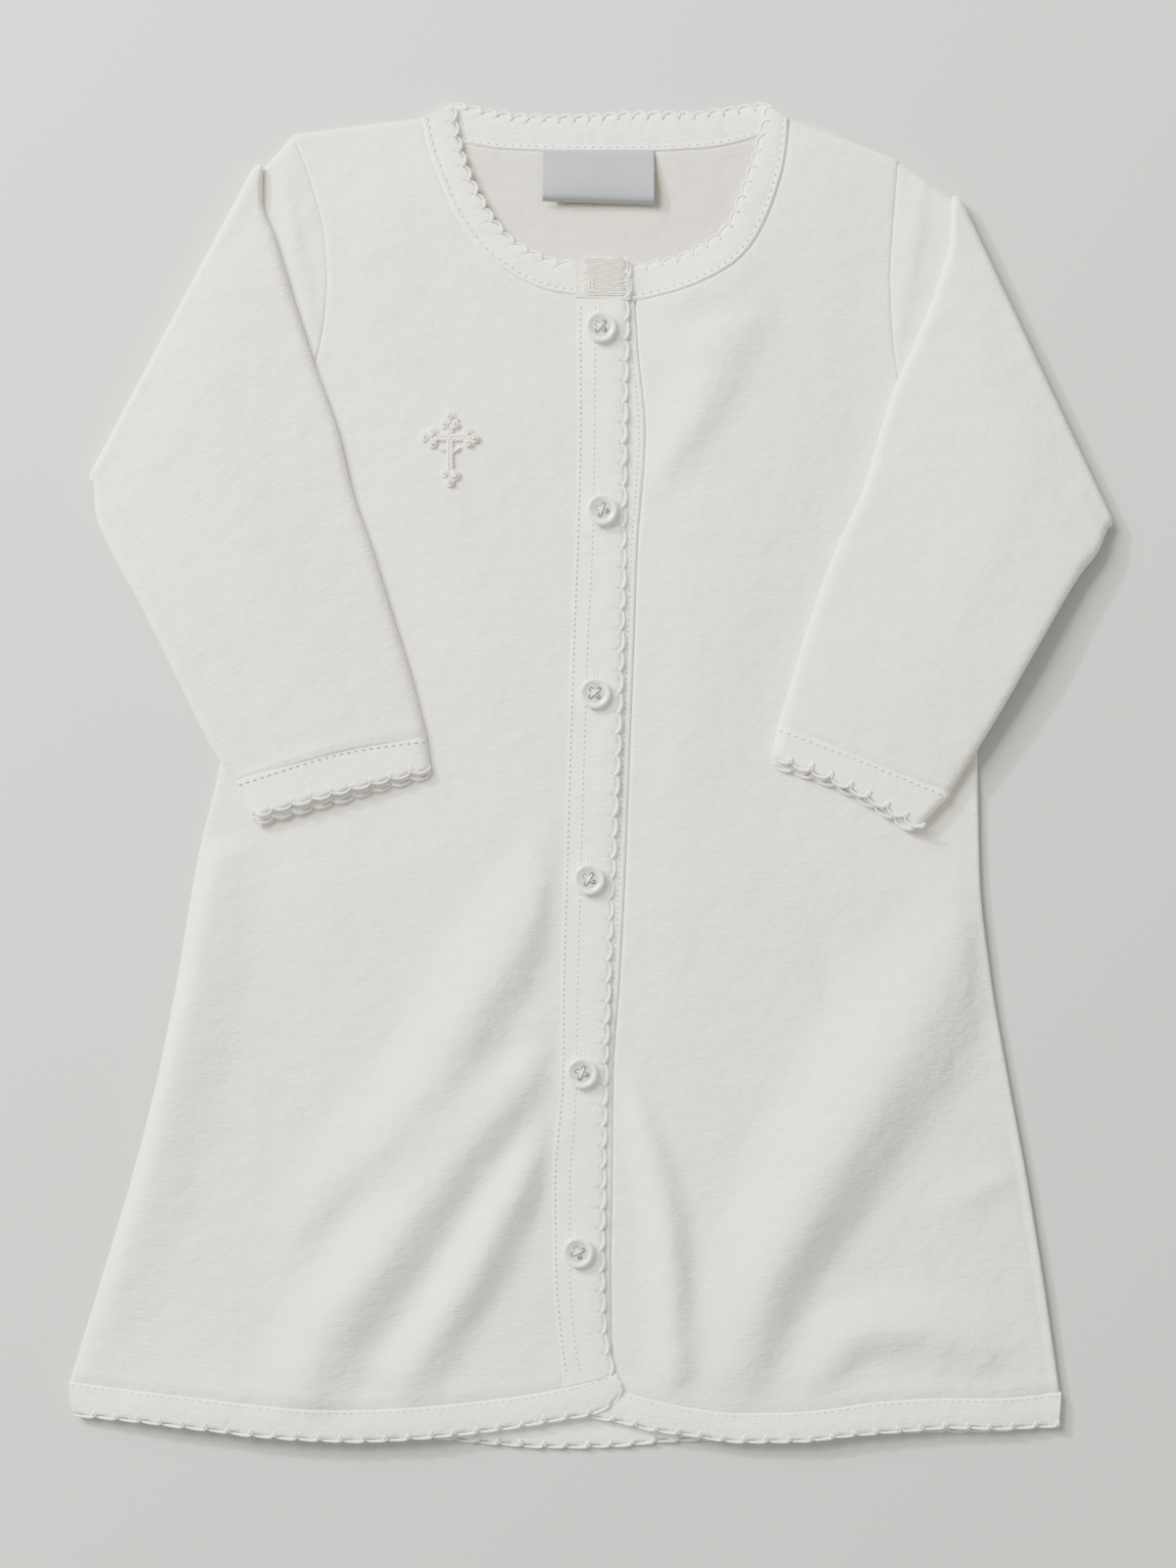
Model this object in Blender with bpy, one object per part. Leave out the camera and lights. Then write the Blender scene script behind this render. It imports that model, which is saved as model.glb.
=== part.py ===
"""A baby's daygown, laid on its back with both long sleeves folded over the front.

X runs to the right and Y towards the neck, as seen from above, and Z is up. The tables are in
millimetres. The wearer's right front is on the left of this view and laps over the other one.
Every layer is a wall of cloth, with a small gap to the next layer and to its neighbour at a seam.
"""

import math

import bpy
import numpy as np

# Driving sizes, in millimetres
WALL = 1.2
BAND_WALL = 1.4
SEAM_GAP = 0.3
SHOULDER_Y = 236.0
FRONT_REST = WALL + SEAM_GAP
SLEEVE_REST = FRONT_REST + WALL + SEAM_GAP
SCALLOP_DEPTH = 1.8
NECK_PITCH = 7.0
HEM_PITCH = 8.0
PLACKET_PITCH = 7.4

# How far the fronts stand up between the places that hold them down, and over what width they rise
PUFF = 2.2
PUFF_WIDTH = 28.0
SHOULDER_RAMP = 30.0
PRESS_RAMP = 12.0
OVERLAP_RAMP = 10.0
UNDERLAP_RAMP = 9.0
UNDERLAP_PUFF_RAMP = 22.0

# A sleeve and a cuff are flat tubes: the hollow at their folded edges, and its swell in the middle
SLEEVE_HOLLOW = 0.3
SLEEVE_SWELL = 1.6
CUFF_SWELL = 1.0
ARMHOLE_GAP = 0.4
CUFF_GAP = 0.35
TUBE_INSET = 0.7
LINING_REACH = 0.35
SWELL_RAMP = 0.2

BUTTON_RADIUS = 5.4
BUTTON_HEIGHT = 2.3
BUTTON_HOLE_RADIUS = 0.75
BUTTON_HOLE_SPACING = 3.0
LABEL_WALL = 0.5
LABEL_LIFT = 1.5
EMBROIDERY_WALL = 0.9

# Sizes of the faces
CELL = 11.0
NECK_CELL = 6.5
FRONT_COLUMNS = 15
SLEEVE_FACES = 8
SLEEVE_STATIONS = 10
CREASE_TURNS = 4
CUFF_FACES = 18
LINE_POINTS = 33
BUTTON_SIDES = 20
HOLE_SIDES = 8
HEM_BEND = 90.0

# How far down each armhole the rows run that end at the neck seam
NECK_RUN_RIGHT = 84.0
NECK_RUN_LEFT = 77.0

FAR_X = 300.0
FAR_ABOVE = 60.0
SHARP_ANGLE = math.radians(40.0)
TO_METRES = 0.001

# Armhole seams from the shoulder to the armpit, and side seams on to the hem
# x, y
ARMHOLE_RIGHT = (
    (-107.5, 229.0),
    (-101.0, 212.0),
    (-96.0, 193.0),
    (-95.0, 177.0),
    (-96.5, 160.0),
    (-99.5, 147.0),
    (-107.0, 128.0),
    (-119.0, 109.5),
)
SIDE_RIGHT = (
    (-119.0, 109.5),
    (-126.0, 57.0),
    (-133.0, 5.5),
    (-141.5, -31.0),
    (-148.5, -73.0),
    (-155.5, -108.0),
    (-164.5, -143.0),
    (-175.0, -178.0),
    (-187.0, -217.0),
)
ARMHOLE_LEFT = (
    (109.2, 220.0),
    (108.2, 207.0),
    (107.1, 193.0),
    (106.4, 179.0),
    (106.8, 165.0),
    (109.2, 143.0),
    (117.5, 126.5),
    (129.5, 109.5),
)
SIDE_LEFT = (
    (129.5, 109.5),
    (133.5, 60.0),
    (137.5, 5.0),
    (138.5, -38.0),
    (142.5, -73.0),
    (148.5, -108.0),
    (155.0, -143.0),
    (160.7, -178.0),
    (167.0, -221.0),
)

# Bands: the seam side and the free side, row by row
# seam x, seam y, edge x, edge y
NECK_RIGHT = (
    (-61.0, 235.0, -48.7, 240.0),
    (-59.3, 226.5, -47.8, 231.5),
    (-57.2, 219.3, -46.0, 223.5),
    (-54.0, 211.5, -43.5, 216.0),
    (-50.3, 202.5, -39.5, 207.5),
    (-45.0, 194.0, -34.5, 199.0),
    (-39.5, 187.0, -29.0, 192.7),
    (-32.0, 181.0, -22.5, 188.5),
    (-24.0, 176.0, -15.5, 185.3),
    (-15.0, 172.8, -10.0, 184.0),
    (-6.3, 171.2, -6.0, 184.0),
)
NECK_LEFT = (
    (2.0, 169.9, 2.0, 183.0),
    (15.5, 169.8, 14.5, 183.2),
    (24.0, 171.3, 21.0, 184.0),
    (33.0, 173.7, 29.0, 185.7),
    (42.0, 177.5, 36.5, 189.2),
    (50.0, 182.5, 43.3, 193.3),
    (56.5, 189.5, 48.5, 199.0),
    (61.5, 198.5, 51.5, 207.0),
    (65.3, 208.5, 54.3, 214.5),
    (67.9, 218.0, 56.6, 221.5),
    (69.3, 227.5, 58.7, 228.5),
    (69.8, 234.5, 61.4, 240.0),
)
NECK_BACK = (
    (-61.0, 234.7, -49.0, 241.2),
    (-54.0, 229.5, -43.0, 240.0),
    (-45.0, 226.0, -36.8, 238.6),
    (-30.0, 224.0, -26.0, 237.2),
    (-8.0, 223.3, -8.0, 236.7),
    (15.0, 223.3, 15.0, 238.0),
    (38.0, 224.2, 34.0, 237.9),
    (52.0, 226.5, 47.3, 239.2),
    (62.0, 230.0, 56.0, 240.6),
    (69.8, 234.2, 61.6, 241.2),
)
NECK_TAB = (
    (-5.6, 171.3, -5.6, 184.6),
    (4.0, 170.8, 4.0, 185.2),
    (13.0, 170.3, 12.6, 183.6),
)
PLACKET_RIGHT = (
    (-6.0, 170.9, 13.3, 169.9),
    (-6.0, 150.0, 13.0, 150.0),
    (-6.0, 123.0, 12.4, 123.0),
    (-7.0, 81.0, 12.2, 81.0),
    (-8.1, 53.0, 11.6, 53.0),
    (-9.5, 11.0, 10.2, 11.0),
    (-10.9, -38.0, 8.1, -38.0),
    (-11.9, -73.0, 6.7, -73.0),
    (-12.4, -108.0, 5.6, -108.0),
    (-15.0, -143.0, 4.9, -143.0),
    (-14.7, -178.0, 4.4, -178.0),
    (-13.0, -199.0, 5.3, -199.0),
    (-11.4, -218.6, 8.2, -213.4),
)
PLACKET_LEFT = (
    (0.9, 169.5, 15.0, 169.3),
    (0.7, 150.0, 16.3, 150.0),
    (0.7, 123.0, 18.7, 123.0),
    (-0.3, 81.0, 15.9, 81.0),
    (-1.4, 53.0, 14.9, 53.0),
    (-3.0, 11.0, 13.3, 11.0),
    (-4.4, -38.0, 11.4, -38.0),
    (-5.6, -73.0, 9.6, -73.0),
    (-6.4, -108.0, 7.1, -108.0),
    (-7.6, -143.0, 6.9, -143.0),
    (-7.6, -178.0, 6.4, -178.0),
    (-6.6, -216.0, 6.9, -218.2),
)
HEM_RIGHT = (
    (-187.2, -217.0, -185.9, -229.3),
    (-165.0, -219.5, -163.0, -231.0),
    (-140.0, -222.3, -139.0, -233.8),
    (-113.0, -225.3, -112.0, -236.8),
    (-86.5, -226.5, -85.0, -238.0),
    (-60.0, -225.3, -59.5, -236.8),
    (-35.0, -223.0, -33.0, -234.0),
    (-12.0, -219.3, -11.5, -230.4),
    (-2.0, -216.6, -1.0, -228.7),
    (4.5, -214.5, 5.3, -226.2),
    (7.5, -214.0, 9.0, -222.9),
    (8.6, -214.2, 10.7, -219.2),
)
HEM_LEFT = (
    (-1.0, -218.0, -1.0, -229.9),
    (12.0, -220.9, 10.0, -231.7),
    (21.7, -223.3, 21.0, -234.2),
    (33.6, -225.8, 34.0, -236.0),
    (51.5, -227.9, 53.0, -238.4),
    (70.0, -227.6, 74.0, -238.0),
    (84.4, -226.3, 92.0, -236.0),
    (102.9, -223.8, 111.0, -234.4),
    (124.6, -222.6, 128.5, -233.3),
    (143.2, -222.7, 145.0, -233.9),
    (167.2, -221.0, 166.3, -233.3),
)
HEM_BACK = (
    (-187.0, -217.0, -185.5, -228.6),
    (-140.0, -220.0, -140.0, -232.5),
    (-90.0, -223.5, -90.0, -236.3),
    (-52.0, -225.5, -52.0, -238.3),
    (-37.0, -227.0, -37.0, -239.8),
    (-15.0, -228.3, -15.0, -241.2),
    (6.0, -228.0, 6.0, -240.9),
    (27.0, -226.0, 27.0, -238.9),
    (60.0, -225.0, 60.0, -237.8),
    (112.0, -223.0, 112.0, -235.6),
    (143.0, -222.4, 143.0, -235.2),
    (167.0, -221.0, 166.3, -232.8),
)

# Folded sleeves: the crease, then the two edges of the folded part from the crease to the cuff seam
# x, y
CREASE_RIGHT = ((-117.9, 217.4), (-178.3, 104.2))
CREASE_LEFT = ((128.1, 206.3), (183.9, 88.3))
SLEEVE_RIGHT_UPPER_EDGE = (
    (-117.9, 217.4),
    (-118.0, 205.0),
    (-113.8, 193.0),
    (-106.8, 170.0),
    (-99.4, 146.7),
    (-91.0, 123.0),
    (-85.4, 100.0),
    (-78.8, 81.0),
    (-71.8, 58.0),
    (-64.8, 35.5),
    (-59.0, 13.0),
)
SLEEVE_RIGHT_UNDER_EDGE = (
    (-178.3, 104.2),
    (-177.5, 94.0),
    (-173.3, 82.6),
    (-162.8, 63.5),
    (-148.8, 35.5),
    (-134.8, 8.0),
    (-126.9, -2.8),
)
SLEEVE_LEFT_UPPER_EDGE = (
    (128.1, 206.3),
    (127.5, 192.0),
    (122.5, 174.0),
    (115.5, 156.0),
    (107.0, 137.0),
    (102.6, 123.0),
    (96.3, 102.0),
    (85.8, 79.0),
    (76.0, 51.0),
    (67.6, 23.0),
    (65.6, 17.2),
)
SLEEVE_LEFT_UNDER_EDGE = (
    (183.9, 88.3),
    (180.3, 80.0),
    (173.3, 71.0),
    (159.3, 47.6),
    (145.3, 23.0),
    (134.8, 5.6),
    (127.0, -7.0),
)
# Cuffs: the seam, the upper layer's free edge and the lower layer's, each from end to end
CUFF_RIGHT = (
    ((-59.2, 12.6), (-85.8, 8.8), (-126.9, -3.2)),
    ((-57.4, 2.8), (-92.8, -5.3), (-120.0, -13.3)),
    ((-57.4, -0.8), (-92.8, -10.9), (-120.0, -18.2)),
)
CUFF_LEFT = (
    ((65.6, 16.8), (96.3, 4.9), (127.0, -7.8)),
    ((62.8, 8.1), (90.0, -4.0), (118.3, -19.3)),
    ((63.3, 2.8), (88.0, -6.0), (112.5, -20.4)),
)
# How far each sleeve's under edge stands up, from the crease to the cuff
SLEEVE_LIFT_RIGHT = (0.0, 0.6, 1.0, 0.8, 0.6)
SLEEVE_LIFT_LEFT = (0.0, 3.6, 5.0, 3.4, 1.8)

# Where a sleeve or a seam holds a front down: on its free side the front puffs up
# x, y
PRESSED_RIGHT = (
    (-107.5, 231.0),
    (-95.0, 177.0),
    (-98.5, 146.7),
    (-90.0, 123.0),
    (-84.0, 100.0),
    (-70.5, 58.0),
    (-57.0, 13.0),
    (-55.5, -3.0),
    (-92.0, -14.0),
    (-121.0, -22.0),
    (-139.0, -24.0),
    (-148.5, -73.0),
    (-164.5, -143.0),
    (-187.0, -217.0),
    (-187.0, -300.0),
)
PRESSED_LEFT = (
    (109.2, 222.0),
    (106.4, 179.0),
    (106.0, 140.0),
    (101.0, 123.0),
    (94.5, 102.0),
    (84.0, 79.0),
    (74.0, 51.0),
    (62.0, 12.0),
    (61.0, 1.0),
    (87.0, -9.0),
    (118.0, -24.0),
    (138.0, -26.0),
    (142.5, -73.0),
    (155.0, -143.0),
    (167.0, -221.0),
    (167.0, -300.0),
)

# Folds, as crest points: lit width is towards the neck's left, dark width towards the hem's right
# x, y, height, lit width, dark width
FOLDS_RIGHT = (
    (
        (-12.0, -38.0, 1.5, 16.0, 10.0),
        (-30.0, -68.0, 3.0, 20.0, 14.0),
        (-52.5, -103.0, 3.4, 24.0, 17.0),
        (-77.0, -129.0, 2.4, 24.0, 17.0),
        (-94.5, -145.0, 0.8, 20.0, 16.0),
    ),
    (
        (-14.0, -99.5, 1.6, 14.0, 10.0),
        (-37.0, -122.0, 3.6, 20.0, 15.0),
        (-58.0, -148.5, 4.4, 24.0, 17.0),
        (-77.0, -174.5, 4.6, 26.0, 18.0),
        (-91.0, -192.0, 3.4, 26.0, 18.0),
        (-100.5, -212.0, 2.0, 24.0, 18.0),
    ),
    (
        (-14.0, -131.0, 2.4, 12.0, 9.0),
        (-30.0, -152.0, 3.8, 16.0, 13.0),
        (-45.5, -180.0, 4.0, 18.0, 14.0),
        (-66.5, -212.0, 1.4, 18.0, 14.0),
    ),
    (
        (-150.0, -226.0, 1.0, 34.0, 34.0),
        (-70.0, -232.0, 1.4, 34.0, 34.0),
    ),
)
FOLDS_LEFT = (
    (
        (133.0, -70.0, 1.2, 26.0, 14.0),
        (108.5, -101.0, 3.8, 32.0, 17.0),
        (87.5, -133.0, 5.2, 34.0, 19.0),
        (70.0, -164.0, 5.0, 30.0, 18.0),
        (59.5, -185.0, 4.2, 26.0, 17.0),
        (51.5, -211.0, 2.2, 22.0, 16.0),
    ),
    (
        (12.0, -112.0, 1.5, 10.0, 10.0),
        (20.0, -137.0, 3.0, 12.0, 12.0),
        (24.5, -164.0, 3.4, 13.0, 13.0),
        (27.0, -212.0, 2.0, 13.0, 13.0),
    ),
    (
        (82.0, -213.0, 1.0, 14.0, 12.0),
        (97.0, -198.0, 2.4, 16.0, 12.0),
        (115.0, -195.5, 2.4, 18.0, 12.0),
        (136.0, -203.0, 1.0, 16.0, 12.0),
    ),
    (
        (18.0, 104.0, 0.8, 16.0, 9.0),
        (38.0, 132.0, 1.8, 20.0, 13.0),
        (55.0, 168.0, 1.0, 18.0, 14.0),
    ),
)

# x, y of each button's centre
BUTTONS = (
    (2.8, 159.6),
    (3.2, 94.5),
    (0.7, 29.2),
    (-1.4, -37.0),
    (-3.9, -106.0),
    (-5.3, -169.8),
)

LABEL_BOX = ((-18.2, 205.0), (22.0, 222.6))

# The cross: heading in degrees and length of each arm, then the bud at an arm's end
EMBROIDERY_PLACE = (-50.4, 116.0)
EMBROIDERY_ARMS = ((0.0, 10.0), (90.0, 9.0), (180.0, 13.0), (270.0, 9.0))
STEM_HALF_WIDTH = 1.5
BUD_RADIUS = 2.5
BUD_LOBE = 0.6
BUD_INSET = 2.0

# Radius and height round a button, as shares of its own, from its underside to its dish
BUTTON_PROFILE = (
    (0.88, 0.0),
    (1.0, 0.40),
    (0.97, 0.80),
    (0.86, 1.0),
    (0.72, 0.92),
    (0.60, 0.66),
)

# Colour and roughness: the real cloth is a warm white
FINISHES = {
    "knit": ((0.80, 0.80, 0.775, 1.0), 0.9),
    "rib": ((0.82, 0.82, 0.79, 1.0), 0.85),
    "button": ((0.86, 0.86, 0.84, 1.0), 0.25),
    "satin": ((0.60, 0.60, 0.63, 1.0), 0.4),
    "thread": ((0.88, 0.88, 0.85, 1.0), 0.6),
}


def soft(amount):
    """A ramp from 0 to 1 that starts and ends level."""
    held = np.clip(amount, 0.0, 1.0)
    return held * held * (3.0 - 2.0 * held)


def through(places, values, wanted):
    """A smooth curve through the values that never overshoots between two of them."""
    places = np.asarray(places, float)
    values = np.asarray(values, float)
    wanted = np.asarray(wanted, float)
    step = np.diff(places)
    slope = np.diff(values) / step
    tangent = np.empty_like(values)
    tangent[0] = slope[0]
    tangent[-1] = slope[-1]
    before, after = slope[:-1], slope[1:]
    product = before * after
    total = before + after
    even = np.where(np.abs(total) > 1e-9, total, 1.0)
    tangent[1:-1] = np.where(product > 0.0, 2.0 * product / even, 0.0)
    at = np.clip(np.searchsorted(places, wanted, side="right") - 1, 0, len(step) - 1)
    t = np.clip((wanted - places[at]) / step[at], 0.0, 1.0)
    rise = t * t * (3.0 - 2.0 * t)
    return (
        values[at] * (1.0 - rise)
        + values[at + 1] * rise
        + step[at] * tangent[at] * t * (1.0 - t) ** 2
        - step[at] * tangent[at + 1] * t * t * (1.0 - t)
    )


def lengths(points):
    """Distance run along a line of points, from 0."""
    points = np.asarray(points, float)
    return np.concatenate([[0.0], np.cumsum(np.hypot(*np.diff(points[:, :2], axis=0).T))])


def rows_at(table, run, wanted):
    """A table's columns, each read smoothly at the wanted places along it."""
    table = np.asarray(table, float)
    return np.column_stack([through(run, column, wanted) for column in table.T])


def along(line, count, trim=0.0):
    """Evenly spaced points on a smooth line, with its ends cut back by trim."""
    run = lengths(line)
    return rows_at(line, run, np.linspace(trim, run[-1] - trim, count))


def band_rows(table, count, side=2):
    """Rows of a band, evenly spaced along its free edge, or along its seam with side 0."""
    table = np.asarray(table, float)
    run = lengths(table[:, side:side + 2])
    return rows_at(table, run, np.linspace(0.0, run[-1], count))


def distance_to(line, x, y):
    """Distance of each place from a line of points."""
    nearest = np.full(np.shape(x), 1e9)
    for (ax, ay), (bx, by) in zip(line, line[1:]):
        dx, dy = bx - ax, by - ay
        t = np.clip(((x - ax) * dx + (y - ay) * dy) / (dx * dx + dy * dy), 0.0, 1.0)
        nearest = np.minimum(nearest, np.hypot(x - ax - t * dx, y - ay - t * dy))
    return nearest


def is_inside(outline, x, y):
    """Whether each place is inside a closed outline."""
    within = np.zeros(np.shape(x), bool)
    for (ax, ay), (bx, by) in zip(outline, outline[1:] + outline[:1]):
        if ay == by:
            continue
        crosses = (ay > y) != (by > y)
        within ^= crosses & (x < ax + (y - ay) * (bx - ax) / (by - ay))
    return within


def free_distance(pressed, x, y, far_x):
    """How far a place is on the free side of the line that holds the front down, or 0."""
    top = pressed[0][1] + FAR_ABOVE
    outline = tuple(pressed) + ((far_x, pressed[-1][1]), (far_x, top), (pressed[0][0], top))
    return np.where(is_inside(outline, x, y), distance_to(pressed, x, y), 0.0)


def crest_height(crest, x, y):
    """Height of one fold, whose two flanks have their own widths."""
    run = lengths(crest)
    rows = rows_at(crest, run, np.linspace(0.0, run[-1], 4 * len(crest)))
    nearest = np.full(np.shape(x), 1e9)
    height = np.zeros(np.shape(x))
    for (ax, ay, ah, al, ad), (bx, by, bh, bl, bd) in zip(rows, rows[1:]):
        dx, dy = bx - ax, by - ay
        t = np.clip(((x - ax) * dx + (y - ay) * dy) / (dx * dx + dy * dy), 0.0, 1.0)
        off_x, off_y = x - ax - t * dx, y - ay - t * dy
        distance = np.hypot(off_x, off_y)
        turn = (off_x - off_y) / (math.sqrt(2.0) * np.maximum(distance, 1e-6))
        lit, dark = al + (bl - al) * t, ad + (bd - ad) * t
        width = lit + (dark - lit) * soft(0.5 + 0.5 * turn)
        bump = np.clip(1.0 - (distance / width) ** 2, 0.0, 1.0) ** 2
        closer = distance < nearest
        nearest = np.where(closer, distance, nearest)
        height = np.where(closer, (ah + (bh - ah) * t) * bump, height)
    return height


def fold_height(folds, x, y):
    return sum(crest_height(crest, x, y) for crest in folds)


def side_of(table, column, y):
    """The x of a placket band's seam or edge at each y."""
    rows = np.asarray(table, float)[::-1]
    places = rows[:, column + 1]
    return through(places, rows[:, column], np.clip(y, places[0], places[-1]))


def puff_height(free, y):
    """How far a front stands up at a distance from what holds it down."""
    return PUFF * soft(free / PUFF_WIDTH) * soft((SHOULDER_Y - y) / SHOULDER_RAMP)


def under_right(x, y):
    """Height of the underside of the right front, its bands and its neckband."""
    free = free_distance(PRESSED_RIGHT, x, y, FAR_X)
    beside = side_of(PLACKET_RIGHT, 0, y) - x
    folds = fold_height(FOLDS_RIGHT, x, y) * soft(free / PRESS_RAMP) * soft(beside / OVERLAP_RAMP)
    return FRONT_REST + puff_height(free, y) + folds


def under_left(x, y):
    """Height of the underside of the left front, its bands and its neckband."""
    free = free_distance(PRESSED_LEFT, x, y, -FAR_X)
    beside = x - side_of(PLACKET_LEFT, 2, y)
    folds = fold_height(FOLDS_LEFT, x, y) * soft(free / PRESS_RAMP) * soft(beside / UNDERLAP_RAMP)
    return FRONT_REST + puff_height(free, y) * soft(beside / UNDERLAP_PUFF_RAMP) + folds


def lying(x, y):
    """Height of the underside of what lies on the surface."""
    return np.zeros(np.shape(x))


def new_material(name, finish):
    """A material of a piece's own, in one of the finishes."""
    colour, roughness = FINISHES[finish]
    material = bpy.data.materials.new(name)
    material.use_nodes = True
    shader = material.node_tree.nodes["Principled BSDF"]
    shader.inputs["Base Color"].default_value = colour
    shader.inputs["Roughness"].default_value = roughness
    shader.inputs["Metallic"].default_value = 0.0
    return material


def add_piece(name, points, faces, finish, smooth=False):
    mesh = bpy.data.meshes.new(name)
    mesh.from_pydata([tuple(point) for point in np.asarray(points) * TO_METRES], [], faces)
    piece = bpy.data.objects.new(name, mesh)
    bpy.context.scene.collection.objects.link(piece)
    mesh.materials.append(new_material(name, finish))
    turn_outwards(mesh)
    if smooth:
        mesh.shade_smooth()
        mesh.set_sharp_from_angle(angle=SHARP_ANGLE)
    return piece


def turn_outwards(mesh):
    """Flips every face if the closed mesh has a negative volume."""
    volume = 0.0
    mesh.calc_loop_triangles()
    for triangle in mesh.loop_triangles:
        a, b, c = (mesh.vertices[index].co for index in triangle.vertices)
        volume += a.dot(b.cross(c))
    if volume < 0.0:
        mesh.flip_normals()


def sheet(name, low, high, finish):
    """A closed wall between two grids of points of the same shape."""
    rows, columns = low.shape[:2]
    count = rows * columns
    points = np.concatenate([low.reshape(count, 3), high.reshape(count, 3)])
    faces = []
    for r in range(rows - 1):
        for c in range(columns - 1):
            a = r * columns + c
            faces.append((a, a + columns, a + columns + 1, a + 1))
            faces.append((count + a, count + a + 1, count + a + columns + 1, count + a + columns))
    border = [c for c in range(columns)]
    border += [r * columns + columns - 1 for r in range(1, rows)]
    border += [(rows - 1) * columns + c for c in range(columns - 2, -1, -1)]
    border += [r * columns for r in range(rows - 2, 0, -1)]
    for a, b in zip(border, border[1:] + border[:1]):
        faces.append((a, b, count + b, count + a))
    return add_piece(name, points, faces, finish, smooth=True)


def raised(plan, under, wall):
    """Lower and upper grids over a plan, a wall apart."""
    height = under(plan[..., 0], plan[..., 1])
    low = np.dstack([plan, height])
    high = np.dstack([plan, height + wall])
    return low, high


def scalloped_band(name, table, pitch, under, wall, finish):
    """A band with one scallop for each pitch of its free edge."""
    run = lengths(np.asarray(table)[:, 2:])
    count = max(2, round(run[-1] / pitch))
    fine = rows_at(table, run, np.linspace(0.0, run[-1], 3 * count + 1))
    plan = []
    faces_of_plan = []
    for index, (seam_x, seam_y, edge_x, edge_y) in enumerate(fine):
        across = np.array([edge_x - seam_x, edge_y - seam_y])
        width = np.hypot(*across)
        across /= width
        if index % 3 == 0:
            plan.append(np.array([seam_x, seam_y]) + across * SEAM_GAP)
            plan.append(np.array([edge_x, edge_y]) - across * SCALLOP_DEPTH)
        else:
            plan.append(np.array([edge_x, edge_y]))
    for scallop in range(count):
        seam = 4 * scallop
        faces_of_plan.append((seam, seam + 4, seam + 5, seam + 3, seam + 2, seam + 1))
    plan = np.array(plan)
    height = under(plan[:, 0], plan[:, 1])
    total = len(plan)
    points = np.concatenate([
        np.column_stack([plan, height]),
        np.column_stack([plan, height + wall]),
    ])
    faces = []
    for face in faces_of_plan:
        faces.append(face)
        faces.append(tuple(total + index for index in reversed(face)))
    border = [4 * scallop for scallop in range(count + 1)]
    border += [4 * count + 1]
    for scallop in range(count - 1, -1, -1):
        border += [4 * scallop + 3, 4 * scallop + 2, 4 * scallop + 1]
    for a, b in zip(border, border[1:] + border[:1]):
        faces.append((b, a, total + a, total + b))
    return add_piece(name, points, faces, finish)


def slab(name, outline, wall, finish):
    """A flat wall of the outline's shape, lying on the surface."""
    count = len(outline)
    points = [(x, y, 0.0) for x, y in outline] + [(x, y, wall) for x, y in outline]
    faces = [tuple(range(count - 1, -1, -1)), tuple(range(count, 2 * count))]
    for a in range(count):
        b = (a + 1) % count
        faces.append((a, b, count + b, count + a))
    return add_piece(name, points, faces, finish)


def front(name, armhole, side, neck_run, neck, placket_x, hem, under):
    """A front, from its armhole and side seam to its neck seam and placket."""
    armhole_run = lengths(armhole)
    upper = round(neck_run / NECK_CELL)
    middle = round((armhole_run[-1] - neck_run) / NECK_CELL)
    low = round(lengths(side)[-1] / CELL)
    armhole_at = np.concatenate([
        np.linspace(0.0, neck_run, upper + 1),
        np.linspace(neck_run, armhole_run[-1], middle + 1)[1:],
    ])
    armhole_rows = rows_at(armhole, armhole_run, armhole_at)
    outer_rows = np.concatenate([armhole_rows, along(side, low + 1)[1:]])
    outer_at = lengths(outer_rows)
    neck_rows = band_rows(neck, upper + 1, side=0)[:, :2]
    end_y = through(hem[0], hem[1], placket_x(hem[1][0]))
    down_at = (outer_at[upper:] - outer_at[upper]) / (outer_at[-1] - outer_at[upper])
    down_y = neck_rows[-1, 1] + (float(end_y) - neck_rows[-1, 1]) * down_at[1:]
    down = np.column_stack([placket_x(down_y), down_y])
    inner_rows = np.concatenate([neck_rows, down])
    share = np.linspace(0.0, 1.0, FRONT_COLUMNS)[None, :, None]
    plan = outer_rows[:, None, :] * (1.0 - share) + inner_rows[:, None, :] * share
    bend = soft(1.0 - (outer_at[-1] - outer_at) / HEM_BEND)
    dip = through(hem[0], hem[1], plan[-1, :, 0]) - plan[-1, :, 1]
    plan[..., 1] += bend[:, None] * dip[None, :]
    return sheet(name, *raised(plan, under, WALL), "knit")


def hem_line(table):
    """A hem band's seam as rising x and its y."""
    rows = np.asarray(table)
    return rows[:, 0], rows[:, 1]


def section_places(faces, outer):
    """Each point of a flat tube's section: its step along a face, and the walls and hollows under it."""
    first = (0, 0.0) if outer else (1, 0.0)
    side = (1, 0.5)
    second = (2, 1.0) if outer else (1, 1.0)
    places = [(step, *first) for step in range(faces + 1)]
    places.append((faces + 1, *side))
    places += [(step, *second) for step in range(faces, -1, -1)]
    places.append((-1, *side))
    return places


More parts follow.
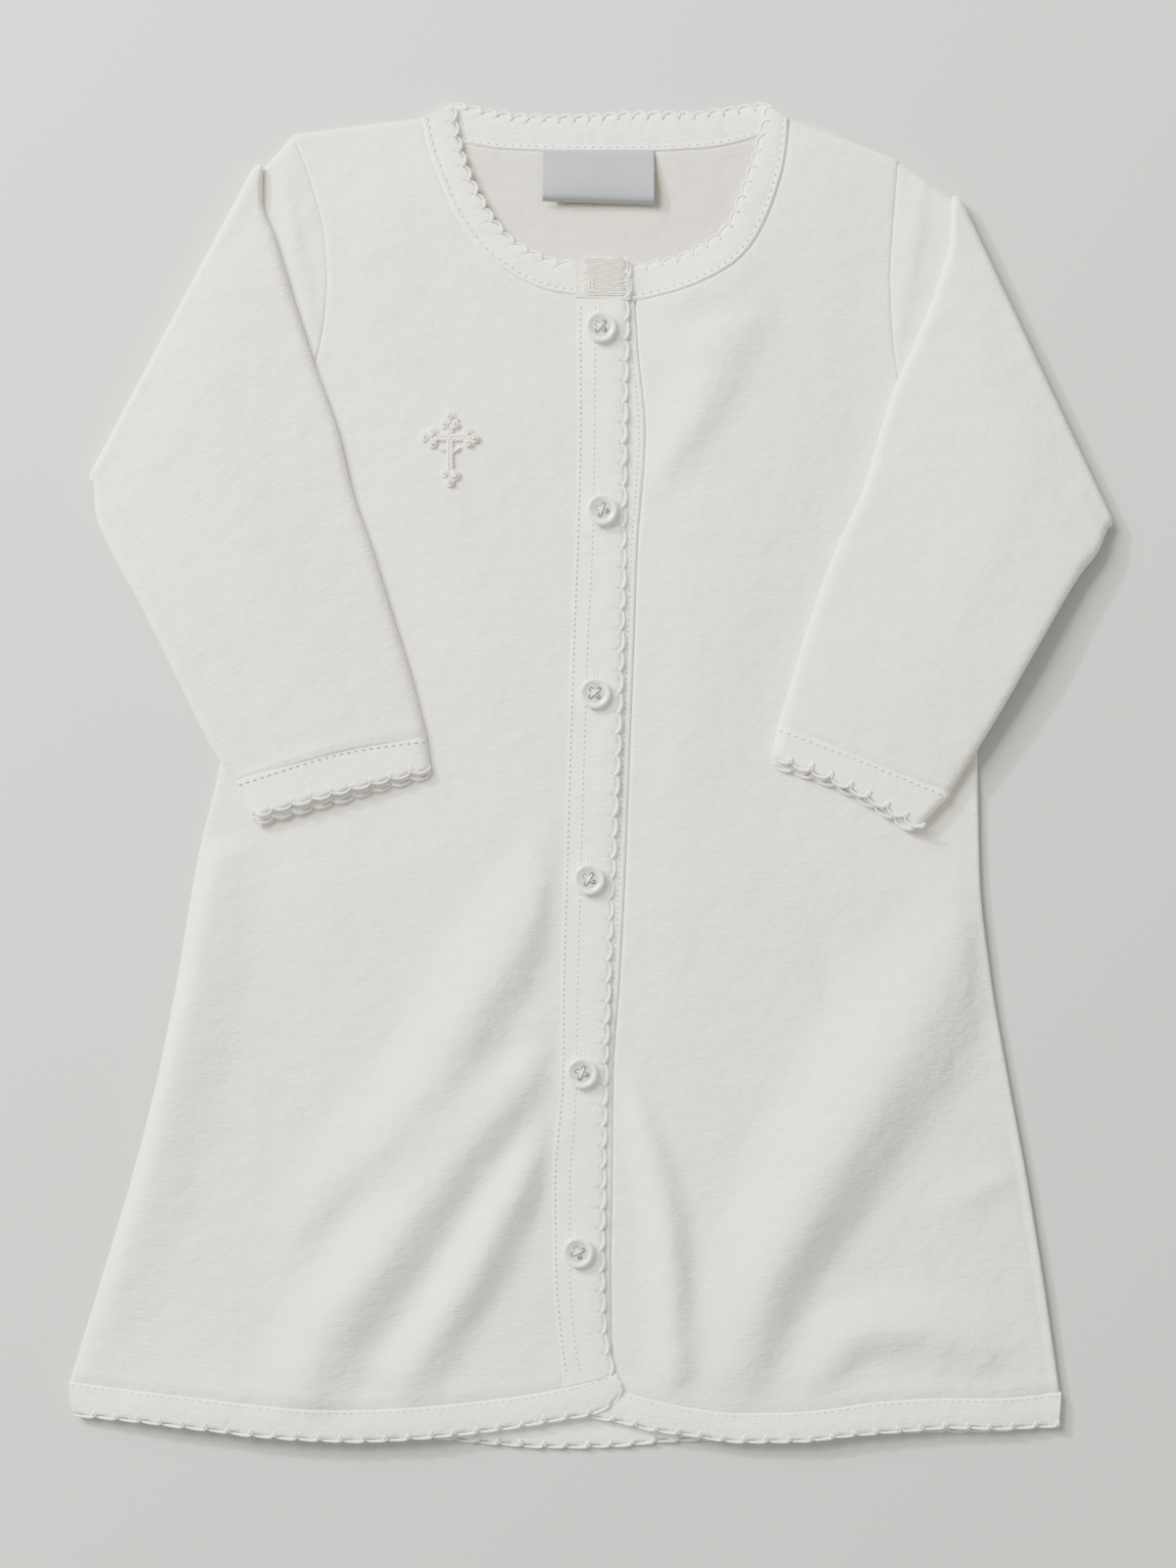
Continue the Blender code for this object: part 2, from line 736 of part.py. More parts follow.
def tube_section(line_first, line_second, wall, swell, faces, outer, place):
    """One section of a flat tube, as points, with place turning plan and level into space."""
    inset = TUBE_INSET if outer else TUBE_INSET + wall
    reach = TUBE_INSET if outer else LINING_REACH
    lines = {0.0: line_first, 0.5: (line_first + line_second) / 2.0, 1.0: line_second}
    section = []
    for step, walls, hollows in section_places(faces, outer):
        line = lines[hollows]
        run = lengths(line)
        total = run[-1]
        if step < 0:
            at = inset - reach
        elif step > faces:
            at = total - inset + reach
        else:
            at = inset + (total - 2.0 * inset) * step / faces
        x = np.interp(at, run, line[:, 0])
        y = np.interp(at, run, line[:, 1])
        share = min(max(at / total, 0.0), 1.0)
        depth = swell * math.sin(math.pi * share) + SLEEVE_HOLLOW
        section.append(place(x, y, share, walls * wall + hollows * depth, 2.0 * wall + depth))
    return section


def tube(name, outer_sections, inner_sections, finish):
    """A closed wall round a flat hollow, open at both ends."""
    outer = np.array(outer_sections)
    inner = np.array(inner_sections)
    rings, count = outer.shape[:2]
    points = np.concatenate([outer.reshape(-1, 3), inner.reshape(-1, 3)])
    shift = rings * count
    faces = []
    for ring in range(rings - 1):
        for k in range(count):
            a, b = ring * count + k, ring * count + (k + 1) % count
            faces.append((a, b, b + count, a + count))
            faces.append((shift + a, shift + a + count, shift + b + count, shift + b))
    for k in range(count):
        a, b = k, (k + 1) % count
        faces.append((a, shift + a, shift + b, b))
        a, b = (rings - 1) * count + k, (rings - 1) * count + (k + 1) % count
        faces.append((a, b, shift + b, shift + a))
    return add_piece(name, points, faces, finish, smooth=True)


def lift_at(lift, station, share):
    """How far a place on the folded sleeve stands up: nothing at its upper edge, all at the under edge."""
    return through(np.linspace(0.0, 1.0, len(lift)), lift, station) * share * share


def sleeve(name, armhole, crease, upper_edge, under_edge, cuff, lift, outward):
    """A sleeve: out from the armhole, round the crease, and back over the front to the cuff seam."""
    armhole_line = along(armhole, LINE_POINTS)
    armhole_line[:, 0] += outward * ARMHOLE_GAP
    crease_line = along(crease, LINE_POINTS)
    crease_way = crease_line[-1] - crease_line[0]
    normal = np.array([crease_way[1], -crease_way[0]]) / np.hypot(*crease_way)
    if normal[0] * outward < 0.0:
        normal = -normal
    axis = SLEEVE_REST - SEAM_GAP / 2.0
    outer_sections, inner_sections = [], []

    def add(line, swell, place):
        for sections, outer in ((outer_sections, True), (inner_sections, False)):
            sections.append(tube_section(line, line, WALL, swell, SLEEVE_FACES, outer, place))

    def flat(x, y, share, level, total):
        return (x, y, level)

    for share in (0.0, 0.5):
        add(armhole_line * (1.0 - share) + crease_line * share, 0.0, flat)
    for turn in range(CREASE_TURNS + 1):
        angle = turn * math.pi / CREASE_TURNS

        def turned(x, y, share, level, total, angle=angle):
            radius = axis - level
            out = radius * math.sin(angle)
            return (x + normal[0] * out, y + normal[1] * out, axis - radius * math.cos(angle))

        add(crease_line, 0.0, turned)
    upper = along(upper_edge, SLEEVE_STATIONS + 1)
    under = along(under_edge, SLEEVE_STATIONS + 1)
    seam = along(cuff[0], LINE_POINTS)
    across = np.linspace(0.0, 1.0, LINE_POINTS)[:, None]
    bow = seam - seam[0] * (1.0 - across) - seam[-1] * across
    for number in range(1, SLEEVE_STATIONS + 1):
        station = number / SLEEVE_STATIONS
        line = upper[number] * (1.0 - across) + under[number] * across + bow * station * station

        def folded(x, y, share, level, total, station=station):
            return (x, y, SLEEVE_REST + lift_at(lift, station, share) + total - level)

        add(line, SLEEVE_SWELL * soft(station / SWELL_RAMP), folded)
    return tube(name, outer_sections, inner_sections, "knit")


def cuff(name, lines, lift):
    """A cuff: a short flat tube whose lower layer reaches past the upper one."""
    points = 2 * CUFF_FACES + 1
    seam, upper_edge, lower_edge = (along(line, points) for line in lines)
    way = (upper_edge - seam) / np.linalg.norm(upper_edge - seam, axis=1)[:, None]
    dips = 0.5 - 0.5 * np.cos(0.5 * math.pi * np.arange(points))
    scallops = way * SCALLOP_DEPTH * dips[:, None]
    start = seam + way * CUFF_GAP
    outer_sections, inner_sections = [], []

    def place(x, y, share, level, total):
        return (x, y, SLEEVE_REST + lift_at(lift, 1.0, share) + total - level)

    for share in (0.0, 0.5, 1.0):
        first = start * (1.0 - share) + upper_edge * share
        second = start * (1.0 - share) + lower_edge * share
        if share == 1.0:
            first = first - scallops
        for sections, outer in ((outer_sections, True), (inner_sections, False)):
            section = tube_section(first, second, BAND_WALL, CUFF_SWELL, CUFF_FACES, outer, place)
            sections.append(section)
    return tube(name, outer_sections, inner_sections, "rib")


def back():
    outline = [tuple(point) for point in along(ARMHOLE_RIGHT, 14)]
    outline += [tuple(point) for point in along(SIDE_RIGHT, 16)[1:]]
    hem = band_rows(HEM_BACK, 20, side=0)
    outline += [(x, y) for x, y, _, _ in hem[1:-1]]
    outline += [tuple(point) for point in along(SIDE_LEFT, 16)[::-1]]
    outline += [tuple(point) for point in along(ARMHOLE_LEFT, 14)[-2::-1]]
    neck = band_rows(NECK_BACK, 14, side=0)
    outline += [(x, y) for x, y, _, _ in neck[::-1]]
    slab("back", outline[::-1], WALL, "knit")


def ring_of_points(centre, radius, height, sides):
    """Points of a level circle."""
    angles = 2.0 * math.pi * np.arange(sides) / sides
    x = centre[0] + radius * np.cos(angles)
    y = centre[1] + radius * np.sin(angles)
    return np.column_stack([x, y, np.full(sides, height)])


def turned_faces(rings, sides, start):
    """Faces between rings of points that follow each other, with a cap at each end."""
    faces = []
    for ring in range(rings - 1):
        for k in range(sides):
            a = start + ring * sides + k
            b = start + ring * sides + (k + 1) % sides
            faces.append((a, b, b + sides, a + sides))
    faces.append(tuple(range(start + sides - 1, start - 1, -1)))
    faces.append(tuple(range(start + (rings - 1) * sides, start + rings * sides)))
    return faces


def button_blank():
    rings = [
        ring_of_points((0.0, 0.0), BUTTON_RADIUS * radius, BUTTON_HEIGHT * height, BUTTON_SIDES)
        for radius, height in BUTTON_PROFILE
    ]
    faces = turned_faces(len(rings), BUTTON_SIDES, 0)
    return add_piece("button", np.concatenate(rings), faces, "button")


def button_drill():
    """Four upright rods, a little longer than a button is high."""
    rings, faces = [], []
    half = BUTTON_HOLE_SPACING / 2.0
    for centre in ((-half, -half), (half, -half), (half, half), (-half, half)):
        faces += turned_faces(2, HOLE_SIDES, len(rings) * HOLE_SIDES)
        rings.append(ring_of_points(centre, BUTTON_HOLE_RADIUS, -1.0, HOLE_SIDES))
        rings.append(ring_of_points(centre, BUTTON_HOLE_RADIUS, BUTTON_HEIGHT + 1.0, HOLE_SIDES))
    return add_piece("button_drill", np.concatenate(rings), faces, "button")


def buttons():
    """Six buttons that share one turned mesh with four holes."""
    blank = button_blank()
    drill = button_drill()
    cut = blank.modifiers.new("holes", "BOOLEAN")
    cut.object = drill
    cut.operation = "DIFFERENCE"
    cut.solver = "EXACT"
    shape = bpy.data.meshes.new_from_object(blank.evaluated_get(bpy.context.evaluated_depsgraph_get()))
    for scrap in (blank, drill):
        bpy.data.objects.remove(scrap)
    shape.shade_smooth()
    shape.set_sharp_from_angle(angle=SHARP_ANGLE)
    for number, (x, y) in enumerate(BUTTONS, start=1):
        piece = bpy.data.objects.new(f"button_{number}", shape)
        bpy.context.scene.collection.objects.link(piece)
        rest = float(under_right(np.array(x), np.array(y))) + BAND_WALL + SEAM_GAP
        piece.location = np.array((x, y, rest)) * TO_METRES


def label():
    """A small bare label, held at the neck seam, its free edge lifted a little."""
    (left, bottom), (right, top) = LABEL_BOX
    x, y = np.meshgrid(np.linspace(left, right, 5), np.linspace(top, bottom, 4))
    height = FRONT_REST + LABEL_LIFT * soft((top - y) / (top - bottom))
    low = np.dstack([x, y, height])
    high = np.dstack([x, y, height + LABEL_WALL])
    sheet("label", low, high, "satin")


def embroidery_outline():
    """A cross with a three-lobed bud on each arm, the lower arm longer."""
    outline = []
    inner_corner = (-STEM_HALF_WIDTH, STEM_HALF_WIDTH)
    for heading, reach in EMBROIDERY_ARMS:
        turn = math.radians(heading)
        across = np.array([math.cos(turn), math.sin(turn)])
        out = np.array([-math.sin(turn), math.cos(turn)])
        for k in range(11):
            angle = math.radians(-60.0 + 30.0 * k)
            lobe = BUD_RADIUS + BUD_LOBE * math.cos(4.0 * angle)
            rise = reach - BUD_INSET + lobe * math.sin(angle)
            outline.append(across * lobe * math.cos(angle) + out * rise)
        outline.append(across * inner_corner[0] + out * inner_corner[1])
    return np.array(outline) + np.array(EMBROIDERY_PLACE)


def embroidery():
    outline = embroidery_outline()
    rest = under_right(outline[:, 0], outline[:, 1]) + WALL + SEAM_GAP
    count = len(outline)
    points = np.concatenate([
        np.column_stack([outline, rest]),
        np.column_stack([outline, rest + EMBROIDERY_WALL]),
    ])
    faces = [tuple(range(count - 1, -1, -1)), tuple(range(count, 2 * count))]
    for a in range(count):
        b = (a + 1) % count
        faces.append((a, b, count + b, count + a))
    add_piece("embroidery", points, faces, "thread")


def placket_left():
    rows = band_rows(PLACKET_LEFT, 36)
    share = np.linspace(0.0, 1.0, 3)[None, :, None]
    plan = rows[:, None, :2] * (1.0 - share) + rows[:, None, 2:] * share
    sheet("placket_left", *raised(plan, under_left, BAND_WALL), "rib")


def bands():
    scalloped_band("neckband_right", NECK_RIGHT, NECK_PITCH, under_right, BAND_WALL, "rib")
    scalloped_band("neckband_left", NECK_LEFT, NECK_PITCH, under_left, BAND_WALL, "rib")
    scalloped_band("neckband_back", NECK_BACK, NECK_PITCH, lying, WALL, "rib")
    scalloped_band("neck_tab", NECK_TAB, NECK_PITCH, under_right, BAND_WALL, "rib")
    scalloped_band("placket_right", PLACKET_RIGHT, PLACKET_PITCH, under_right, BAND_WALL, "rib")
    scalloped_band("hem_right", HEM_RIGHT, HEM_PITCH, under_right, BAND_WALL, "rib")
    scalloped_band("hem_left", HEM_LEFT, HEM_PITCH, under_left, BAND_WALL, "rib")
    scalloped_band("hem_back", HEM_BACK, HEM_PITCH, lying, WALL, "rib")
    placket_left()


def fronts():
    front(
        "front_right", ARMHOLE_RIGHT, SIDE_RIGHT, NECK_RUN_RIGHT, NECK_RIGHT,
        lambda y: side_of(PLACKET_RIGHT, 0, y) - SEAM_GAP,
        hem_line(HEM_RIGHT), under_right,
    )
    front(
        "front_left", ARMHOLE_LEFT, SIDE_LEFT, NECK_RUN_LEFT, NECK_LEFT[:0:-1],
        lambda y: side_of(PLACKET_LEFT, 2, y) + SEAM_GAP,
        hem_line(HEM_LEFT), under_left,
    )


def sleeves():
    sleeve(
        "sleeve_right", ARMHOLE_RIGHT, CREASE_RIGHT, SLEEVE_RIGHT_UPPER_EDGE,
        SLEEVE_RIGHT_UNDER_EDGE, CUFF_RIGHT, SLEEVE_LIFT_RIGHT, -1.0,
    )
    sleeve(
        "sleeve_left", ARMHOLE_LEFT, CREASE_LEFT, SLEEVE_LEFT_UPPER_EDGE,
        SLEEVE_LEFT_UNDER_EDGE, CUFF_LEFT, SLEEVE_LIFT_LEFT, 1.0,
    )
    cuff("cuff_right", CUFF_RIGHT, SLEEVE_LIFT_RIGHT)
    cuff("cuff_left", CUFF_LEFT, SLEEVE_LIFT_LEFT)


def centre_on_origin():
    """Moves every piece so that the middle of the underside of the box round them is the origin."""
    low = np.full(3, 1e9)
    high = np.full(3, -1e9)
    bpy.context.view_layer.update()
    for piece in bpy.context.scene.objects:
        for corner in piece.bound_box:
            place = np.array(piece.matrix_world.translation) + np.array(corner)
            low = np.minimum(low, place)
            high = np.maximum(high, place)
    middle = ((low[0] + high[0]) / 2.0, (low[1] + high[1]) / 2.0, low[2])
    for piece in bpy.context.scene.objects:
        piece.location = np.array(piece.location) - np.array(middle)


def main():
    for old in list(bpy.data.objects):
        bpy.data.objects.remove(old)
    back()
    fronts()
    bands()
    sleeves()
    buttons()
    label()
    embroidery()
    centre_on_origin()


main()
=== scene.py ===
"""The looks of a baby's white knit daygown, laid on its back with both sleeves folded over the front.

X runs to the right and Y towards the neck, as seen from above, and Z is up. The tables are in
millimetres. The wearer's right front is on the left of this view and laps over the other one.
Each panel, sleeve and band is a fine shell on its solid's form. The shell-stitched edging, the
seams' stitches, the buttons and the embroidery are modelled as the threads and turned pieces they are.
"""

import math

import bpy
import numpy as np
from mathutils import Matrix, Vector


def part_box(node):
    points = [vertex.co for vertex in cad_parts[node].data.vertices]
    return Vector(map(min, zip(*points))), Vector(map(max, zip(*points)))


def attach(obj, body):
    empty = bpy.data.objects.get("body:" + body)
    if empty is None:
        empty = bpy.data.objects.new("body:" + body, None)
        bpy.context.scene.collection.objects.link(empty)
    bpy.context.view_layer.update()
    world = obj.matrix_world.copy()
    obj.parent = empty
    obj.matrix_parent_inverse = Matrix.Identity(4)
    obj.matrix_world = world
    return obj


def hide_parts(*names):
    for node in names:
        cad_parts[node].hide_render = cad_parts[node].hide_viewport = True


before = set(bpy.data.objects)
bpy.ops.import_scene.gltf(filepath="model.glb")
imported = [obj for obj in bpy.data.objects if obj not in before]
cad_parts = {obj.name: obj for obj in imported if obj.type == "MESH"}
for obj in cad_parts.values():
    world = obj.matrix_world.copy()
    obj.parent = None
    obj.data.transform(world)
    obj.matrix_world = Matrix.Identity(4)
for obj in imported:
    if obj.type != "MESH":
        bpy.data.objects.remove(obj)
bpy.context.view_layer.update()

# Driving sizes, in millimetres, as the solids have them
MM = 0.001
WALL = 1.2
BAND_WALL = 1.4
SEAM_GAP = 0.3
SHOULDER_Y = 236.0
FRONT_REST = WALL + SEAM_GAP
SLEEVE_REST = FRONT_REST + WALL + SEAM_GAP
HEM_PITCH = 8.0
PLACKET_PITCH = 7.4
PUFF_WIDTH = 28.0
SHOULDER_RAMP = 30.0
PRESS_RAMP = 12.0
OVERLAP_RAMP = 10.0
UNDERLAP_RAMP = 9.0
UNDERLAP_PUFF_RAMP = 22.0
SLEEVE_HOLLOW = 0.3
SLEEVE_SWELL = 1.6
CUFF_SWELL = 1.0
SWELL_RAMP = 0.2
BUTTON_RADIUS = 5.4
HEM_BEND = 90.0
NECK_RUN_RIGHT = 84.0
NECK_RUN_LEFT = 77.0
FAR_X = 300.0
FAR_ABOVE = 60.0

# Sizes of the looks alone, in millimetres
NECK_PITCH = 5.4
PUFF = 1.2
RIM_RAMP = 5.0
ARMHOLE_GAP = 0.02
CUFF_TUCK = 1.2
BUTTON_HEIGHT = 1.8
BUTTON_SINK = 0.55
BUTTON_HOLE_RADIUS = 0.95
BUTTON_HOLE_SPACING = 2.8
LABEL_LIFT = 3.0

# Armhole seams from the shoulder to the armpit, and side seams on to the hem
# x, y
ARMHOLE_RIGHT = (
    (-107.5, 229.0), (-101.0, 212.0), (-96.0, 193.0), (-95.0, 177.0), (-96.5, 160.0),
    (-99.5, 147.0), (-107.0, 128.0), (-119.0, 109.5),
)
SIDE_RIGHT = (
    (-119.0, 109.5), (-126.0, 57.0), (-133.0, 5.5), (-141.5, -31.0), (-148.5, -73.0),
    (-155.5, -108.0), (-164.5, -143.0), (-175.0, -178.0), (-187.0, -217.0),
)
ARMHOLE_LEFT = (
    (109.2, 220.0), (108.2, 207.0), (107.1, 193.0), (106.4, 179.0), (106.8, 165.0), (109.2, 143.0),
    (117.5, 126.5), (129.5, 109.5),
)
SIDE_LEFT = (
    (129.5, 109.5), (133.5, 60.0), (137.5, 5.0), (138.5, -38.0), (142.5, -73.0), (148.5, -108.0),
    (155.0, -143.0), (160.7, -178.0), (167.0, -221.0),
)

# Bands: the seam side and the free side, row by row
# seam x, seam y, edge x, edge y
NECK_RIGHT = (
    (-61.0, 235.0, -48.7, 240.0),
    (-59.3, 226.5, -47.8, 231.5),
    (-57.2, 219.3, -46.0, 223.5),
    (-54.0, 211.5, -43.5, 216.0),
    (-50.3, 202.5, -39.5, 207.5),
    (-45.0, 194.0, -34.5, 199.0),
    (-39.5, 187.0, -29.0, 192.7),
    (-32.0, 181.0, -22.5, 188.5),
    (-24.0, 176.0, -15.5, 185.3),
    (-15.0, 172.8, -10.0, 184.0),
    (-6.3, 171.2, -6.0, 184.0),
)
NECK_LEFT = (
    (2.0, 169.9, 2.0, 183.0),
    (15.5, 169.8, 14.5, 183.2),
    (24.0, 171.3, 21.0, 184.0),
    (33.0, 173.7, 29.0, 185.7),
    (42.0, 177.5, 36.5, 189.2),
    (50.0, 182.5, 43.3, 193.3),
    (56.5, 189.5, 48.5, 199.0),
    (61.5, 198.5, 51.5, 207.0),
    (65.3, 208.5, 54.3, 214.5),
    (67.9, 218.0, 56.6, 221.5),
    (69.3, 227.5, 58.7, 228.5),
    (69.8, 234.5, 61.4, 240.0),
)
NECK_BACK = (
    (-61.0, 234.7, -49.0, 241.2),
    (-54.0, 229.5, -43.0, 240.0),
    (-45.0, 226.0, -36.8, 238.6),
    (-30.0, 224.0, -26.0, 237.2),
    (-8.0, 223.3, -8.0, 236.7),
    (15.0, 223.3, 15.0, 238.0),
    (38.0, 224.2, 34.0, 237.9),
    (52.0, 226.5, 47.3, 239.2),
    (62.0, 230.0, 56.0, 240.6),
    (69.8, 234.2, 61.6, 241.2),
)
NECK_TAB = (
    (-5.6, 171.3, -5.6, 184.6),
    (4.0, 170.8, 4.0, 185.2),
    (13.0, 170.3, 12.6, 183.6),
)
PLACKET_RIGHT = (
    (-6.0, 170.9, 13.3, 169.9),
    (-6.0, 150.0, 13.0, 150.0),
    (-6.0, 123.0, 12.4, 123.0),
    (-7.0, 81.0, 12.2, 81.0),
    (-8.1, 53.0, 11.6, 53.0),
    (-9.5, 11.0, 10.2, 11.0),
    (-10.9, -38.0, 8.1, -38.0),
    (-11.9, -73.0, 6.7, -73.0),
    (-12.4, -108.0, 5.6, -108.0),
    (-15.0, -143.0, 4.9, -143.0),
    (-14.7, -178.0, 4.4, -178.0),
    (-13.0, -199.0, 5.3, -199.0),
    (-11.4, -218.6, 8.2, -213.4),
)
PLACKET_LEFT = (
    (0.9, 169.5, 15.0, 169.3),
    (0.7, 150.0, 16.3, 150.0),
    (0.7, 123.0, 18.7, 123.0),
    (-0.3, 81.0, 15.9, 81.0),
    (-1.4, 53.0, 14.9, 53.0),
    (-3.0, 11.0, 13.3, 11.0),
    (-4.4, -38.0, 11.4, -38.0),
    (-5.6, -73.0, 9.6, -73.0),
    (-6.4, -108.0, 7.1, -108.0),
    (-7.6, -143.0, 6.9, -143.0),
    (-7.6, -178.0, 6.4, -178.0),
    (-6.6, -216.0, 6.9, -218.2),
)
HEM_RIGHT = (
    (-187.2, -217.0, -185.9, -229.3),
    (-165.0, -219.5, -163.0, -231.0),
    (-140.0, -222.3, -139.0, -233.8),
    (-113.0, -225.3, -112.0, -236.8),
    (-86.5, -226.5, -85.0, -238.0),
    (-60.0, -225.3, -59.5, -236.8),
    (-35.0, -223.0, -33.0, -234.0),
    (-12.0, -219.3, -11.5, -230.4),
    (-2.0, -216.6, -1.0, -228.7),
    (4.5, -214.5, 5.3, -226.2),
    (7.5, -214.0, 9.0, -222.9),
    (8.6, -214.2, 10.7, -219.2),
)
HEM_LEFT = (
    (-1.0, -218.0, -1.0, -229.9),
    (12.0, -220.9, 10.0, -231.7),
    (21.7, -223.3, 21.0, -234.2),
    (33.6, -225.8, 34.0, -236.0),
    (51.5, -227.9, 53.0, -238.4),
    (70.0, -227.6, 74.0, -238.0),
    (84.4, -226.3, 92.0, -236.0),
    (102.9, -223.8, 111.0, -234.4),
    (124.6, -222.6, 128.5, -233.3),
    (143.2, -222.7, 145.0, -233.9),
    (167.2, -221.0, 166.3, -233.3),
)
HEM_BACK = (
    (-187.0, -217.0, -185.5, -228.6),
    (-140.0, -220.0, -140.0, -232.5),
    (-90.0, -223.5, -90.0, -236.3),
    (-52.0, -225.5, -52.0, -238.3),
    (-37.0, -227.0, -37.0, -239.8),
    (-15.0, -228.3, -15.0, -241.2),
    (6.0, -228.0, 6.0, -240.9),
    (27.0, -226.0, 27.0, -238.9),
    (60.0, -225.0, 60.0, -237.8),
    (112.0, -223.0, 112.0, -235.6),
    (143.0, -222.4, 143.0, -235.2),
    (167.0, -221.0, 166.3, -232.8),
)

# Folded sleeves: the crease, then the two edges of the folded part from the crease to the cuff seam
# x, y
CREASE_RIGHT = ((-117.9, 217.4), (-178.3, 104.2))
CREASE_LEFT = ((128.1, 206.3), (183.9, 88.3))
SLEEVE_RIGHT_UPPER_EDGE = (
    (-117.9, 217.4), (-118.0, 205.0), (-113.8, 193.0), (-106.8, 170.0), (-99.4, 146.7),
    (-91.0, 123.0), (-85.4, 100.0), (-78.8, 81.0), (-71.8, 58.0), (-64.8, 35.5), (-59.0, 13.0),
)
SLEEVE_RIGHT_UNDER_EDGE = (
    (-178.3, 104.2), (-177.5, 94.0), (-173.3, 82.6), (-162.8, 63.5), (-148.8, 35.5), (-134.8, 8.0),
    (-126.9, -2.8),
)
SLEEVE_LEFT_UPPER_EDGE = (
    (128.1, 206.3), (127.5, 192.0), (122.5, 174.0), (115.5, 156.0), (107.0, 137.0), (102.6, 123.0),
    (96.3, 102.0), (85.8, 79.0), (76.0, 51.0), (67.6, 23.0), (65.6, 17.2),
)
SLEEVE_LEFT_UNDER_EDGE = (
    (183.9, 88.3), (180.3, 80.0), (173.3, 71.0), (159.3, 47.6), (145.3, 23.0), (134.8, 5.6),
    (127.0, -7.0),
)
# Cuffs: the seam, the upper layer's free edge and the lower layer's, each from end to end
CUFF_RIGHT = (
    ((-59.2, 12.6), (-85.8, 8.8), (-126.9, -3.2)),
    ((-57.4, 2.8), (-92.8, -5.3), (-120.0, -13.3)),
    ((-57.4, -0.8), (-92.8, -10.9), (-120.0, -18.2)),
)
CUFF_LEFT = (
    ((65.6, 16.8), (96.3, 4.9), (127.0, -7.8)),
    ((62.8, 8.1), (90.0, -4.0), (118.3, -19.3)),
    ((63.3, 2.8), (88.0, -6.0), (112.5, -20.4)),
)
# How far each sleeve's under edge stands up, from the crease to the cuff
SLEEVE_LIFT_RIGHT = (0.0, 0.6, 1.0, 0.8, 0.6)
SLEEVE_LIFT_LEFT = (0.0, 2.6, 3.6, 2.6, 1.2)

# Where a sleeve or a seam holds a front down: on its free side the front puffs up
# x, y
PRESSED_RIGHT = (
    (-107.5, 231.0), (-95.0, 177.0), (-98.5, 146.7), (-90.0, 123.0), (-84.0, 100.0), (-70.5, 58.0),
    (-57.0, 13.0), (-55.5, -3.0), (-92.0, -14.0), (-121.0, -22.0), (-139.0, -24.0), (-148.5, -73.0),
    (-164.5, -143.0), (-187.0, -217.0), (-187.0, -300.0),
)
PRESSED_LEFT = (
    (109.2, 222.0), (106.4, 179.0), (106.0, 140.0), (101.0, 123.0), (94.5, 102.0), (84.0, 79.0),
    (74.0, 51.0), (62.0, 12.0), (61.0, 1.0), (87.0, -9.0), (118.0, -24.0), (138.0, -26.0),
    (142.5, -73.0), (155.0, -143.0), (167.0, -221.0), (167.0, -300.0),
)

# Folds, as crest points: lit width is towards the neck's left, dark width towards the hem's right
# x, y, height, lit width, dark width
FOLDS_RIGHT = (
    (
        (-12.3, -31.0, 2.4, 20.0, 9.0),
        (-28.0, -61.0, 5.6, 26.0, 16.0),
        (-43.8, -87.0, 6.4, 26.0, 19.0),
        (-57.8, -111.5, 6.4, 24.0, 21.0),
        (-73.5, -131.0, 5.6, 24.0, 21.0),
        (-90.0, -145.0, 3.2, 20.0, 19.0),
        (-106.0, -160.0, 1.0, 16.0, 16.0),
    ),
    (
        (-10.5, -82.0, 0.6, 5.0, 6.0),
        (-22.8, -88.0, 1.4, 6.0, 7.0),
        (-31.5, -93.0, 0.4, 5.0, 6.0),
    ),
    (
        (-14.0, -97.0, 2.4, 12.0, 10.0),
        (-37.0, -121.0, 6.0, 18.0, 16.0),
        (-58.0, -147.5, 7.2, 20.0, 18.5),
        (-77.0, -174.0, 8.2, 22.0, 22.0),
        (-91.0, -193.0, 7.2, 22.0, 22.0),
        (-101.0, -214.0, 5.0, 22.0, 19.0),
    ),
    (
        (-14.0, -128.0, 3.4, 10.0, 10.0),
        (-29.0, -150.0, 6.4, 12.0, 13.5),
        (-44.5, -179.0, 7.0, 14.0, 15.0),
        (-65.0, -212.0, 4.4, 15.0, 15.0),
    ),
    (
        (-94.5, -140.0, 0.6, 14.0, 14.0),
        (-103.0, -164.0, 1.4, 16.0, 14.0),
        (-110.0, -185.0, 0.6, 14.0, 14.0),
    ),
    (
        (-150.0, -226.0, 1.4, 34.0, 34.0),
        (-70.0, -232.0, 1.8, 34.0, 34.0),
    ),
)
